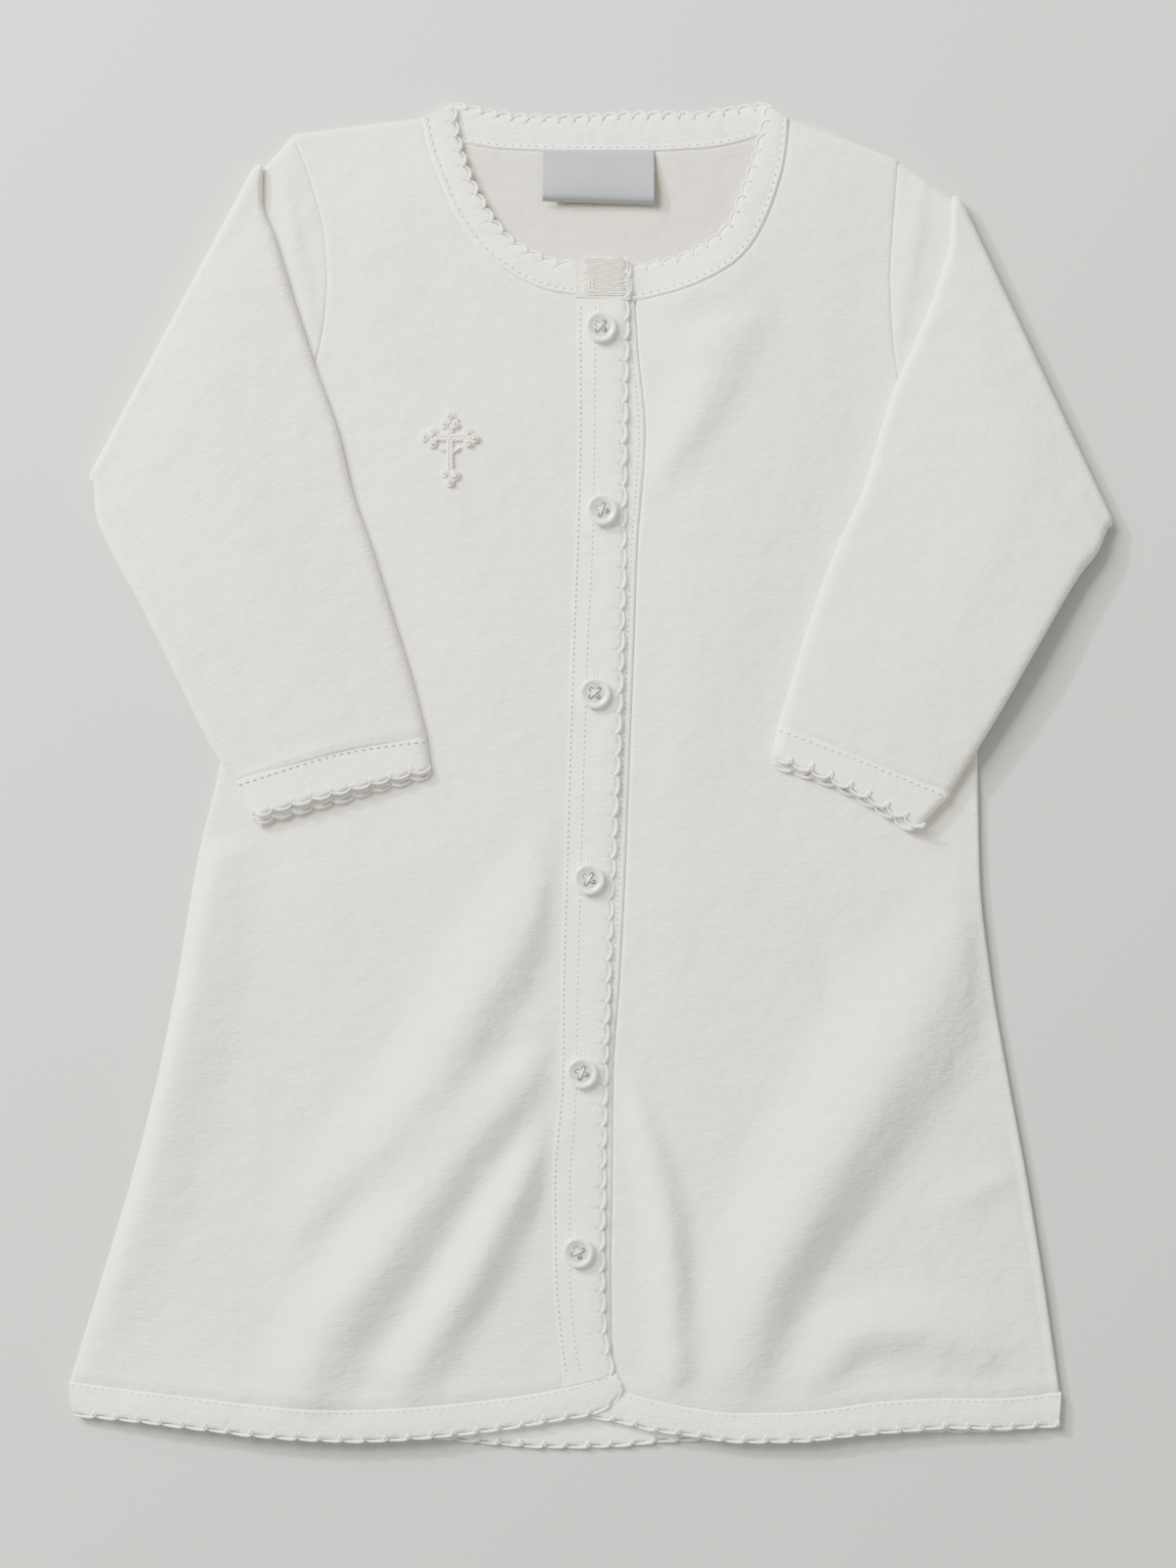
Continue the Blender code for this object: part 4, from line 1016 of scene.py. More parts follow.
# Bands whose free edge is bound by the edging
# piece, table, pitch of the edging, surface, wall, depth of the seam
BANDS = (
    ("neckband_right", NECK_RIGHT, NECK_PITCH, on_right, BAND_WALL, NECK_SEAM_DEPTH),
    ("neckband_left", NECK_LEFT, NECK_PITCH, on_left, BAND_WALL, NECK_SEAM_DEPTH),
    ("neckband_back", NECK_BACK, NECK_PITCH, lying, WALL, NECK_SEAM_DEPTH),
    ("placket_right", PLACKET_RIGHT, PLACKET_PITCH, on_right, BAND_WALL, PLACKET_SEAM_DEPTH),
    ("hem_right", HEM_RIGHT, HEM_PITCH, on_right, BAND_WALL, HEM_SEAM_DEPTH),
    ("hem_left", HEM_LEFT, HEM_PITCH, on_left, BAND_WALL, HEM_SEAM_DEPTH),
    ("hem_back", HEM_BACK, HEM_PITCH, lying, WALL, HEM_SEAM_DEPTH),
)

# Kinds of stitch: pitch, length, radius
HEM_KIND = (HEM_STITCH, 1.5, 0.34)
NECK_KIND = (NECK_STITCH, 1.4, 0.32)
NECK_BACK_KIND = (NECK_STITCH, 1.5, 0.34)
PLACKET_KIND = (DOT_STITCH, 1.0, 0.33)
UNDERLAP_KIND = (DOT_STITCH, 1.0, 0.22)
CUFF_KIND = (HEM_STITCH, 1.6, 0.4)


def edge_drop(distance, width, depth):
    """How far a rounded edge lies below the surface beside it."""
    share = np.clip(distance / width, 0.0, 1.0)
    return depth * (1.0 - np.sqrt(1.0 - (1.0 - share) ** 2))


def bell(distance, width):
    return np.exp(-((distance / width) ** 2))


def ridge(distance, place, width, height):
    """A rounded ridge or groove at a distance from an edge."""
    return height * bell(distance - place, width)


# Materials


def node(tree, kind, **settings):
    made = tree.nodes.new(kind)
    for key, value in settings.items():
        setattr(made, key, value)
    return made


def math_node(tree, operation, first, second):
    """A sum or a product of two sockets or numbers."""
    made = node(tree, "ShaderNodeMath", operation=operation)
    for socket, value in zip(made.inputs, (first, second)):
        if isinstance(value, float):
            socket.default_value = value
        else:
            tree.links.new(value, socket)
    return made.outputs[0]


def wave(tree, place, direction, period):
    """Even ribs, one for each period in millimetres."""
    made = node(tree, "ShaderNodeTexWave", bands_direction=direction, wave_profile="SIN")
    made.inputs["Scale"].default_value = 2.0 * math.pi / WAVE_UNIT / (period * MM)
    tree.links.new(place, made.inputs["Vector"])
    return made.outputs["Fac"]


def noise(tree, place, size, detail):
    """Soft unevenness whose patches are about one size, in millimetres."""
    made = node(tree, "ShaderNodeTexNoise")
    made.inputs["Scale"].default_value = 1.0 / (size * MM)
    made.inputs["Detail"].default_value = detail
    tree.links.new(place, made.inputs["Vector"])
    return made.outputs["Fac"]


def mapped(tree, place, setting, value):
    """A place in the object, turned or stretched."""
    made = node(tree, "ShaderNodeMapping")
    made.inputs[setting].default_value = value
    tree.links.new(place, made.inputs["Vector"])
    return made.outputs["Vector"]


def new_material(name, tones, patch, roughness, sheen=0.0, coat=0.0, specular=0.5):
    """A material whose colour drifts between two near tones in patches, its tree, shader and place."""
    material = bpy.data.materials.new(name)
    material.use_nodes = True
    tree = material.node_tree
    shader = tree.nodes["Principled BSDF"]
    for socket, value in (
        ("Roughness", roughness),
        ("Sheen Weight", sheen),
        ("Sheen Roughness", SHEEN_ROUGHNESS),
        ("Coat Weight", coat),
        ("Specular IOR Level", specular),
    ):
        shader.inputs[socket].default_value = value
    place = node(tree, "ShaderNodeTexCoord").outputs["Object"]
    mix = node(tree, "ShaderNodeMix", data_type="RGBA")
    tree.links.new(noise(tree, place, patch, PATCH_DETAIL), mix.inputs["Factor"])
    for socket, tone in zip(("A", "B"), tones):
        mix.inputs[socket].default_value = (*tone, 1.0)
    tree.links.new(mix.outputs["Result"], shader.inputs["Base Color"])
    return material, tree, shader, place


def raise_surface(tree, shader, height, distance, strength):
    bump = node(tree, "ShaderNodeBump")
    bump.inputs["Strength"].default_value = strength
    bump.inputs["Distance"].default_value = distance * MM
    tree.links.new(height, bump.inputs["Height"])
    tree.links.new(bump.outputs["Normal"], shader.inputs["Normal"])


def knit_material(name, turn=0.0, tones=KNIT_TONES):
    """Fine interlock: wales across, courses along, both under a millimetre, and a soft handle."""
    material, tree, shader, place = new_material(name, tones, **KNIT_FINISH)
    turned = mapped(tree, place, "Rotation", (0.0, 0.0, turn))
    stretched = mapped(tree, turned, "Scale", STREAK_STRETCH)
    loops = math_node(
        tree, "MULTIPLY", wave(tree, turned, "X", KNIT_WALE), wave(tree, turned, "Y", KNIT_COURSE),
    )
    stitches = math_node(tree, "MULTIPLY", loops, LOOP_SHARE)
    streaks = math_node(tree, "MULTIPLY", noise(tree, stretched, *STREAKS), STREAK_SHARE)
    handle = math_node(tree, "MULTIPLY", noise(tree, place, *HANDLE), HANDLE_SHARE)
    height = math_node(tree, "ADD", math_node(tree, "ADD", stitches, handle), streaks)
    raise_surface(tree, shader, height, *KNIT_RELIEF)
    return material


def thread_material(name, tones):
    """Twisted thread, finely ribbed."""
    material, tree, shader, place = new_material(name, tones, **THREAD_FINISH)
    raise_surface(tree, shader, noise(tree, place, *TWIST), *THREAD_RELIEF)
    return material


def satin_material(name):
    """Satin ribbon: fine ribs across, a soft gloss."""
    material, tree, shader, place = new_material(name, SATIN_TONES, **SATIN_FINISH)
    ribs = math_node(tree, "ADD", *(wave(tree, place, *rib) for rib in SATIN_RIBS))
    raise_surface(tree, shader, ribs, *SATIN_RELIEF)
    return material


def pearl_material(name, tones):
    """Polished pearly plastic, faintly uneven."""
    material, tree, shader, place = new_material(name, tones, **PEARL_FINISH)
    raise_surface(tree, shader, noise(tree, place, *PEARL_WAVES), *PEARL_RELIEF)
    return material


# Meshes


def add_mesh(name, points, faces, material, sharp=0.0):
    """A piece of the gown from points in millimetres, its faces turned outwards."""
    placed = np.array(points, float)
    placed[:, :2] += SHIFT
    mesh = bpy.data.meshes.new(name)
    mesh.from_pydata((placed * MM).tolist(), [], [list(face) for face in faces])
    mesh.calc_loop_triangles()
    corners = np.zeros(3 * len(mesh.loop_triangles), np.int32)
    mesh.loop_triangles.foreach_get("vertices", corners)
    a, b, c = (placed[corners.reshape(-1, 3)[:, k]] for k in range(3))
    if np.einsum("ij,ij->i", a, np.cross(b, c)).sum() < 0.0:
        mesh.flip_normals()
    mesh.shade_smooth()
    if sharp:
        mesh.set_sharp_from_angle(angle=math.radians(sharp))
    mesh.materials.append(material)
    piece = bpy.data.objects.new(name, mesh)
    bpy.context.scene.collection.objects.link(piece)
    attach(piece, "root")
    return piece


def grid_quads(rows, columns, start=0):
    index = np.arange(rows * columns).reshape(rows, columns) + start
    corners = (index[:-1, :-1], index[1:, :-1], index[1:, 1:], index[:-1, 1:])
    return np.stack(corners, axis=-1).reshape(-1, 4)


def shell(name, plan, low, high, material):
    """A closed sheet over a grid of places, between its lower and upper heights."""
    rows, columns = low.shape
    count = rows * columns
    index = np.arange(count).reshape(rows, columns)
    border = np.concatenate([index[0], index[1:, -1], index[-1, -2::-1], index[-2:0:-1, 0]])
    after = np.roll(border, -1)
    faces = [
        grid_quads(rows, columns),
        grid_quads(rows, columns, count)[:, ::-1],
        np.column_stack([after, border, count + border, count + after]),
    ]
    points = np.concatenate([np.dstack([plan, height]).reshape(count, 3) for height in (low, high)])
    return add_mesh(name, points, np.concatenate(faces).tolist(), material, SHARP)


def tube(name, rings, material):
    """A wall between pairs of closed rings, an outer and an inner one, open at both ends of the tube."""
    outer, inner = (np.array(half) for half in zip(*rings))
    count, sides = outer.shape[:2]
    index = np.arange(count * sides).reshape(count, sides)
    after = np.roll(index, -1, axis=1)
    shift = count * sides
    outside = np.stack([index[:-1], after[:-1], after[1:], index[1:]], axis=-1).reshape(-1, 4)
    inside = shift + outside[:, ::-1]
    first = np.column_stack([after[0], index[0], shift + index[0], shift + after[0]])
    last = np.column_stack([index[-1], after[-1], shift + after[-1], shift + index[-1]])
    points = np.concatenate([outer.reshape(-1, 3), inner.reshape(-1, 3)])
    faces = np.concatenate([outside, inside, first, last]).tolist()
    return add_mesh(name, points, faces, material, SHARP)


def strands(name, made, material, sides=STRAND_SIDES):
    """One mesh of many closed strands of thread, each with its line and its radii."""
    lines, radii = (np.array(part, float) for part in zip(*made))
    count, rings = radii.shape
    ahead = np.gradient(lines, axis=1)
    ahead /= np.maximum(np.linalg.norm(ahead, axis=2, keepdims=True), TINY)
    aside = np.cross(ahead, np.array([0.0, 0.0, 1.0]))
    aside /= np.maximum(np.linalg.norm(aside, axis=2, keepdims=True), TINY)
    above = np.cross(aside, ahead)
    turn = 2.0 * math.pi * np.arange(sides) / sides
    spokes = np.cos(turn)[:, None] * aside[:, :, None, :] + np.sin(turn)[:, None] * above[:, :, None, :]
    points = lines[:, :, None, :] + radii[:, :, None, None] * spokes
    index = np.arange(count * rings * sides).reshape(count, rings, sides)
    after = np.roll(index, -1, axis=2)
    quads = np.stack([index[:, :-1], after[:, :-1], after[:, 1:], index[:, 1:]], axis=-1)
    faces = quads.reshape(-1, 4).tolist()
    faces += index[:, 0, ::-1].tolist()
    faces += index[:, -1].tolist()
    return add_mesh(name, points.reshape(-1, 3), faces, material)


def places(total, middle, steps, start=True, end=True):
    """Places from 0 to total, closer together near the ends asked for."""
    first = np.array(steps) if start else np.zeros(1)
    last = total - (np.array(steps[::-1]) if end else np.zeros(1))
    between = np.linspace(first[-1], last[0], middle + 1)[1:-1]
    return np.concatenate([first, between, last])


def rows_between(outer, inner, middle):
    """Points from each outer place to its inner one, and each point's distance from both."""
    way = inner - outer
    total = np.linalg.norm(way, axis=1)
    at = np.array([places(length, middle, CLOTH_STEPS) for length in total])
    plan = outer[:, None, :] + way[:, None, :] * (at / total[:, None])[..., None]
    return plan, at, total[:, None] - at


# Fronts and back


def outer_line(armhole, side, wanted):
    """Places down the armhole and on down the side seam."""
    armhole_run, side_run = lengths(armhole), lengths(side)
    above = wanted[wanted <= armhole_run[-1]]
    below = wanted[wanted > armhole_run[-1]] - armhole_run[-1]
    return np.concatenate([rows_at(armhole, armhole_run, above), rows_at(side, side_run, below)])


def front(name, armhole, side, neck_run, neck, placket_x, hem, under, rim, is_under):
    """A front, from its armhole and side seam to its neck seam and placket."""
    whole = lengths(armhole)[-1] + lengths(side)[-1]
    upper = places(neck_run, round(neck_run / CLOTH_STEP), CLOTH_STEPS, end=False)
    rest = whole - neck_run
    lower = places(rest, round(rest / CLOTH_STEP), CLOTH_STEPS, start=False)[1:]
    down = np.concatenate([upper, neck_run + lower])
    outer = outer_line(armhole, side, down)
    neck_at = lengths(np.asarray(neck)[:, :2])
    neck_line = rows_at(neck, neck_at, upper / neck_run * neck_at[-1])[:, :2]
    hem_x, hem_y = np.asarray(hem)[:, 0], np.asarray(hem)[:, 1]
    end_y = float(through(hem_x, hem_y, placket_x(hem_y[0])))
    placket_y = neck_line[-1, 1] + (end_y - neck_line[-1, 1]) * lower / rest
    inner = np.concatenate([neck_line, np.column_stack([placket_x(placket_y), placket_y])])
    plan, from_side, from_middle = rows_between(outer, inner, FRONT_COLUMNS)
    from_hem = (down[-1] - down)[:, None]
    dip = through(hem_x, hem_y, plan[-1, :, 0]) - plan[-1, :, 1]
    plan[..., 1] += soft(1.0 - from_hem / HEM_BEND) * dip[None, :]
    x, y = plan[..., 0], plan[..., 1]
    low = under(x, y)
    at_side = soft((down[:, None] - lengths(armhole)[-1]) / ARMPIT_RAMP)
    at_neck = soft((neck_run - down[:, None]) / NECK_RAMP)
    drop = edge_drop(from_side, rim, WALL - RIM_WALL) * at_side
    drop = drop + edge_drop(from_side, *ARMHOLE_SIDE_ROUND) * (1.0 - at_side)
    drop = drop + edge_drop(from_middle, *NECK_ROUND) * at_neck
    drop = drop + edge_drop(down[:, None], *SHOULDER_ROUND)
    drop = drop + edge_drop(from_hem, *HEM_ROUND) - ridge(from_hem, *SEAM_SWELL)
    if is_under:
        drop = drop + edge_drop(from_middle, *PLACKET_ROUND) * (1.0 - at_neck)
        drop = drop + ridge(from_side, *SIDE_SEAM_GROOVE) * soft((SIDE_SEAM_TOP - y) / SIDE_SEAM_RAMP)
    high = low + np.maximum(WALL - drop, LEAST_WALL)
    return shell(name, plan, low, high, knit_material(name))


def back():
    """The back panel, bent at its top to the shoulders and the neck seam and at its foot to the hem."""
    whole = lengths(ARMHOLE_RIGHT)[-1] + lengths(SIDE_RIGHT)[-1]
    down = places(whole, round(whole / BACK_STEP), CLOTH_STEPS)
    left = outer_line(ARMHOLE_RIGHT, SIDE_RIGHT, down)
    other = lengths(ARMHOLE_LEFT)[-1] + lengths(SIDE_LEFT)[-1]
    right = outer_line(ARMHOLE_LEFT, SIDE_LEFT, down / whole * other * JUST_INSIDE)
    plan, from_left, from_right = rows_between(left, right, BACK_COLUMNS)
    neck, hem = np.asarray(NECK_BACK), np.asarray(HEM_BACK)
    top = np.concatenate([[ARMHOLE_RIGHT[0]], neck[:, :2], [ARMHOLE_LEFT[0]]])
    for row, line, bend in (
        (0, top, soft(1.0 - down / BACK_TOP_BEND)),
        (-1, hem, soft((down - down[-1]) / HEM_BEND + 1.0)),
    ):
        dip = through(line[:, 0], line[:, 1], plan[row, :, 0]) - plan[row, :, 1]
        plan[..., 1] += bend[:, None] * dip[None, :]
    edge = np.minimum(np.minimum(from_left, from_right), down[:, None])
    ripple = np.sin(plan[..., 0] / RIPPLE_ACROSS + plan[..., 1] / RIPPLE_ALONG)
    high = WALL - edge_drop(edge, *BACK_ROUND)
    high = high + BACK_RIPPLE * ripple * soft(edge / RIPPLE_RAMP)
    # Its darker tones are painted shade for the inside seen through the neck opening
    return shell("back", plan, np.zeros(high.shape), high, knit_material("back", 0.0, BACK_SHADE_TONES))


# Bands and their edging


def scallop_arc(share):
    """How far a place on a scallop is from its crown: 0 at the crown, 1 where scallops meet."""
    return (1.0 - np.abs(np.sin(math.pi * share))) ** SCALLOP_ROUND


def scallop_inset(share):
    """How far the cloth's edge draws back from the edging's outer line, at a share of a scallop."""
    pinch = np.exp(-np.minimum(share, 1.0 - share) / PINCH_SHARE)
    start, start_ramp, end, end_ramp = SLIT_RAMPS
    slit = soft((share - start) / start_ramp) * soft((end - share) / end_ramp)
    return EDGE_INSET + pinch + SLIT_INSET * slit


def scallop_count(table, pitch):
    """How many scallops fit along a band's free edge, and its length."""
    total = lengths(np.asarray(table)[:, 2:])[-1]
    return max(2, round(total / pitch)), total


def band(name, table, pitch, under, wall, seam_depth):
    """A doubled band: rounded at its seam and its edge, drawn in where the edging bites."""
    samples = SCALLOP_SAMPLES * scallop_count(table, pitch)[0] + 1
    rows = band_rows(table, samples)
    width = np.linalg.norm(rows[:, 2:] - rows[:, :2], axis=1)
    share = (np.arange(samples) % SCALLOP_SAMPLES) / SCALLOP_SAMPLES
    last = width - scallop_inset(share) - SCALLOP_DEPTH[pitch] * scallop_arc(share)
    at = np.array([places(end + TUCK, BAND_COLUMNS, BAND_STEPS) - TUCK for end in last])
    plan = rows[:, None, :2] + ways_across(rows)[:, None, :] * at[..., None]
    low = under(plan[..., 0], plan[..., 1])
    from_edge = last[:, None] - at
    near_pinch = bell(np.minimum(share, 1.0 - share)[:, None], PINCH_WIDTH)
    pinch = near_pinch * np.exp(-from_edge / PINCH_REACH)
    drop = edge_drop(at + TUCK, BAND_SEAM_WIDTH, seam_depth) + edge_drop(from_edge, *BAND_EDGE_ROUND)
    drop = drop + PINCH_DEPTH * pinch
    belly = ridge(from_edge, *BAND_BELLY)
    if seam_depth == NECK_SEAM_DEPTH:
        belly = belly + ridge(at, *NECK_PIPING) - ridge(at, *NECK_GROOVE)
    step = (wall - WALL) * soft(1.0 - at / STEP_RAMP) * (seam_depth == PLACKET_SEAM_DEPTH)
    high = low + np.maximum(wall - drop + belly - step, LEAST_WALL)
    return shell(name, plan, low, high, knit_material(name, 0.0, BAND_TONES))


def edging_strands(table, pitch, surface, rng, reach, depth, thick):
    """Lines and radii of the edging's threads along a band's free edge."""
    count, total = scallop_count(table, pitch)
    run = lengths(np.asarray(table)[:, 2:])
    made = []
    for profile in (LONG_STRAND, PEAK_STRAND):
        rings = np.asarray(profile)
        fine = np.linspace(0.0, len(rings) - 1.0, 2 * len(rings) - 1)
        share, inset, height, radius = rows_at(rings, np.arange(len(rings)), fine).T
        at = np.arange(count)[:, None] + share[None, :] + UNEVEN_ALONG * rng.standard_normal((count, 1))
        rows = rows_at(table, run, np.clip(at * total / count, 0.0, total).reshape(-1))
        if profile is PEAK_STRAND:
            inset = STRAND_INSET + (inset - STRAND_INSET) * reach
            height = STRAND_LEVEL + (height - STRAND_LEVEL) * reach
            radius = radius * (PEAK_THIN[0] + PEAK_THIN[1] * reach)
        else:
            radius = STRAND_RADIUS + (radius - STRAND_RADIUS) * reach
        inset = inset + depth * scallop_arc(share)
        inset = inset[None, :] * (1.0 + UNEVEN_INSET * rng.standard_normal((count, 1)))
        spot = rows[:, 2:] - ways_across(rows) * inset.reshape(-1)[:, None]
        level = surface(spot[:, 0], spot[:, 1]) + np.tile(height, count)
        lines = np.column_stack([spot, level]).reshape(count, -1, 3)
        radii = thick * radius[None, :] * (1.0 + UNEVEN_RADIUS * rng.standard_normal((count, 1)))
        made += zip(lines, radii)
    return made


def edging(name, parts, seed, reach, depth, thick=1.0):
    """The shell-stitched edging of one or more bands, as one piece."""
    rng = np.random.default_rng(seed)
    made = []
    for table, pitch, surface in parts:
        made += edging_strands(table, pitch, surface, rng, reach, depth, thick)
    return strands(name, made, thread_material(name, EDGING_TONES))


def stitch_row(line, kind, surface, level):
    """Lines and radii of a row of stitches whose ends dip into the cloth."""
    pitch, length, radius = kind
    steps, sag, share = np.array(STITCH_SHAPE).T
    line = np.asarray(line, float)
    run = lengths(line)
    count = max(1, round(run[-1] / pitch))
    middle = (np.arange(count) + 0.5) * run[-1] / count
    at = middle[:, None] + steps[None, :] * length
    x = np.interp(at, run, line[:, 0])
    y = np.interp(at, run, line[:, 1])
    z = surface(x, y) + level + sag
    return list(zip(np.dstack([x, y, z]), np.tile(share * radius, (count, 1))))


def line_beside(table, inset, side=0):
    """A line along a band, a distance in from its seam, or from its free edge with side 2."""
    rows = band_rows(table, LINE_SAMPLES, side)
    return rows[:, side:side + 2] + ways_across(rows) * (inset if side == 0 else -inset)


def underlap():
    """The button band's edge, which shows beside the band that laps over it."""
    plan, from_edge = [], []
    for row in band_rows(PLACKET_LEFT, UNDERLAP_SAMPLES):
        start, end = row[:2], row[2:]
        total = float(np.linalg.norm(end - start))
        at = places(total, BAND_COLUMNS, BAND_STEPS)
        plan.append(start + (end - start) * (at / total)[:, None])
        from_edge.append(total - at)
    plan, from_edge = np.array(plan), np.array(from_edge)
    low = on_left(plan[..., 0], plan[..., 1])
    high = low + BAND_WALL - edge_drop(from_edge, *UNDERLAP_ROUND) - ridge(from_edge, *UNDERLAP_GROOVE)
    material = knit_material("placket_left", 0.0, BAND_TONES)
    return shell("placket_left", plan, low, high, material)


# Sleeves and cuffs


def longer(lines):
    """A cuff's lines, with the upper layer's edge brought nearer to the lower one's."""
    seam, upper, lower = (along(line, CUFF_LINE_POINTS) for line in lines)
    return seam, upper + CUFF_LONGER * (lower - upper), lower


def section(line, thickness, lean, place):
    """One closed ring of a flattened tube and the ring inside it, set in space by place."""
    run = lengths(line)
    total = run[-1]
    rings = []
    for inset in (0.0, SLEEVE_INNER):
        at = inset + places(total, SLEEVE_COLUMNS, CLOTH_STEPS) * (total - 2.0 * inset) / total
        share = at / total
        depth = thickness(share)
        fall = edge_drop(np.minimum(at, total - at), ROLL, depth / 2.0)
        half = np.maximum(depth / 2.0 - fall - inset, LEAST_HALF)
        half[[0, -1]] = 0.0
        centre = depth / 2.0 + lean * fall
        x = np.interp(at, run, line[:, 0])
        y = np.interp(at, run, line[:, 1])
        first = place(x, y, share, centre - half, depth)
        second = place(x, y, share, centre + half, depth)
        rings.append(np.concatenate([first, second[-2:0:-1]]))
    return rings


def lift_at(lift, station, share):
    """How far a place on the folded sleeve stands up."""
    return through(np.linspace(0.0, 1.0, len(lift)), lift, station) * share * share


def sleeve(name, armhole, crease, upper_edge, under_edge, cuff_lines, lift, outward, relief, turn):
    """A sleeve: out from the armhole, round the crease, and back over the front to the cuff seam."""
    armhole_line = along(armhole, LINE_POINTS)
    armhole_line[:, 0] += outward * ARMHOLE_GAP
    crease_line = along(crease, LINE_POINTS)
    crease_way = crease_line[-1] - crease_line[0]
    normal = np.array([crease_way[1], -crease_way[0]]) / np.hypot(*crease_way)
    if normal[0] * outward < 0.0:
        normal = -normal
    axis = SLEEVE_REST - SEAM_GAP / 2.0
    reach = np.linalg.norm(crease_line - armhole_line, axis=1)
    across = np.linspace(0.0, 1.0, LINE_POINTS)[:, None]
    rings = []

    def flat_depth(share):
        return np.full(share.shape, 2.0 * WALL + SLEEVE_HOLLOW)

    for out in SLEEVE_OUT:

        def flat(x, y, share, level, depth):
            away = out * np.interp(share, across[:, 0], reach)
            top = level / depth
            drop = edge_drop(away, *ARMHOLE_ROUND) * top
            z = level - drop + relief(x, y) * top * soft(away / RELIEF_RAMP)
            return np.column_stack([x, y, z])

        line = armhole_line * (1.0 - out) + crease_line * out
        rings.append(section(line, flat_depth, -LEAN, flat))
    for step in range(CREASE_TURNS + 1):
        angle = step * math.pi / CREASE_TURNS

        def turned(x, y, share, level, depth):
            radius = axis - level
            out = radius * math.sin(angle)
            height = axis - radius * math.cos(angle)
            return np.column_stack([x + normal[0] * out, y + normal[1] * out, height])

        rings.append(section(crease_line, flat_depth, -LEAN * math.cos(angle), turned))
    seam = along(cuff_lines[0], LINE_POINTS)
    bow = seam - seam[0] * (1.0 - across) - seam[-1] * across
    upper_run, under_run = lengths(upper_edge), lengths(under_edge)
    stations = places(upper_run[-1], SLEEVE_STATIONS, CLOTH_STEPS, start=False)[1:] / upper_run[-1]
    for station in stations:
        start = rows_at(upper_edge, upper_run, np.array([station * upper_run[-1]]))
        end = rows_at(under_edge, under_run, np.array([station * under_run[-1]]))
        line = start * (1.0 - across) + end * across + bow * station * station
        from_cuff = (1.0 - station) * upper_run[-1]

        def depth_at(share):
            swell = SLEEVE_SWELL * float(soft(station / SWELL_RAMP))
            return 2.0 * WALL + SLEEVE_HOLLOW + swell * np.sin(math.pi * share)

        def folded(x, y, share, level, depth):
            top = 1.0 - level / depth
            seam_drop = edge_drop(from_cuff, *CUFF_SEAM_ROUND) - ridge(from_cuff, *SEAM_SWELL)
            added = relief(x, y) * soft(station / STATION_RAMP) - seam_drop
            z = SLEEVE_REST + lift_at(lift, station, share) + depth - level + added * top
            return np.column_stack([x, y, z])

        rings.append(section(line, depth_at, LEAN, folded))
    return tube(name, rings, knit_material(name, turn))


def cuff_rows(lines, layer):
    """A cuff's layer as a band table: its seam and its free edge from end to end."""
    return np.column_stack([along(lines[0], CUFF_POINTS), along(lines[layer], CUFF_POINTS)])


def cuff_depth(share):
    """How thick a cuff is, from end to end."""
    return 2.0 * BAND_WALL + SLEEVE_HOLLOW + CUFF_SWELL * np.sin(math.pi * share)


def cuff_level(lines, lift, layer):
    """The height at any place of a cuff's upper or lower layer's underside."""
    start, end = np.asarray(lines[0][0]), np.asarray(lines[0][-1])
    total = np.linalg.norm(end - start)
    way = (end - start) / total

    def level(x, y):
        share = np.clip(((x - start[0]) * way[0] + (y - start[1]) * way[1]) / total, 0.0, 1.0)
        depth = cuff_depth(share)
        fall = edge_drop(np.minimum(share, 1.0 - share) * total, ROLL, depth / 2.0)
        rise = depth - BAND_WALL - (1.0 + LEAN) * fall if layer == 1 else 0.0
        return SLEEVE_REST + lift_at(lift, 1.0, share) + rise

    return level


def cuff(name, lines, lift, turn):
    """A cuff: a short flat tube whose lower layer reaches past the upper one."""
    seam, upper_edge, lower_edge = (along(line, CUFF_POINTS) for line in lines)
    run = lengths(upper_edge)
    share = (run / run[-1] * round(run[-1] / PLACKET_PITCH)) % 1.0
    way = ways_across(np.column_stack([seam, upper_edge]))
    start = seam - way * CUFF_TUCK
    drawn = way * (scallop_inset(share) + CUFF_SCALLOP * scallop_arc(share))[:, None]
    total = float(np.mean(np.linalg.norm(upper_edge - start, axis=1)))
    fine = np.linspace(0.0, 1.0, CUFF_POINTS)
    rings = []
    for at in places(total, CUFF_COLUMNS, BAND_STEPS):
        out = at / total
        layers = [start * (1.0 - out) + (edge - drawn) * out for edge in (upper_edge, lower_edge)]
        drop = edge_drop(at, *CUFF_START_ROUND) + edge_drop(total - at, *CUFF_EDGE_ROUND)
        pair = []
        for wall in (0.0, CUFF_INNER):
            share = wall / run[-1] + fine * (1.0 - 2.0 * wall / run[-1])
            depth = cuff_depth(share)
            fall = edge_drop(np.minimum(share, 1.0 - share) * run[-1], ROLL, depth / 2.0)
            half = np.maximum(depth / 2.0 - fall - wall, LEAST_HALF)
            half[[0, -1]] = 0.0
            centre = depth / 2.0 + LEAN * fall
            ring = []
            for line, side in zip(layers, (-1.0, 1.0)):
                level = centre + side * half
                top = 1.0 - level / depth
                x = np.interp(share, fine, line[:, 0])
                y = np.interp(share, fine, line[:, 1])
                z = SLEEVE_REST + lift_at(lift, 1.0, share) + depth - level - drop * top
                ring.append(np.column_stack([x, y, z]))
            ring[0][[0, -1]] = (ring[0][[0, -1]] + ring[1][[0, -1]]) / 2.0
            pair.append(np.concatenate([ring[0], ring[1][-2:0:-1]]))
        rings.append(pair)
    return tube(name, rings, knit_material(name, turn, BAND_TONES))


# Buttons, label, neckband end and embroidery


def ring_of_points(centre, radius, height, sides):
    angles = 2.0 * math.pi * np.arange(sides) / sides
    x = centre[0] + radius * np.cos(angles)
    y = centre[1] + radius * np.sin(angles)
    return np.column_stack([x, y, np.full(sides, height)])


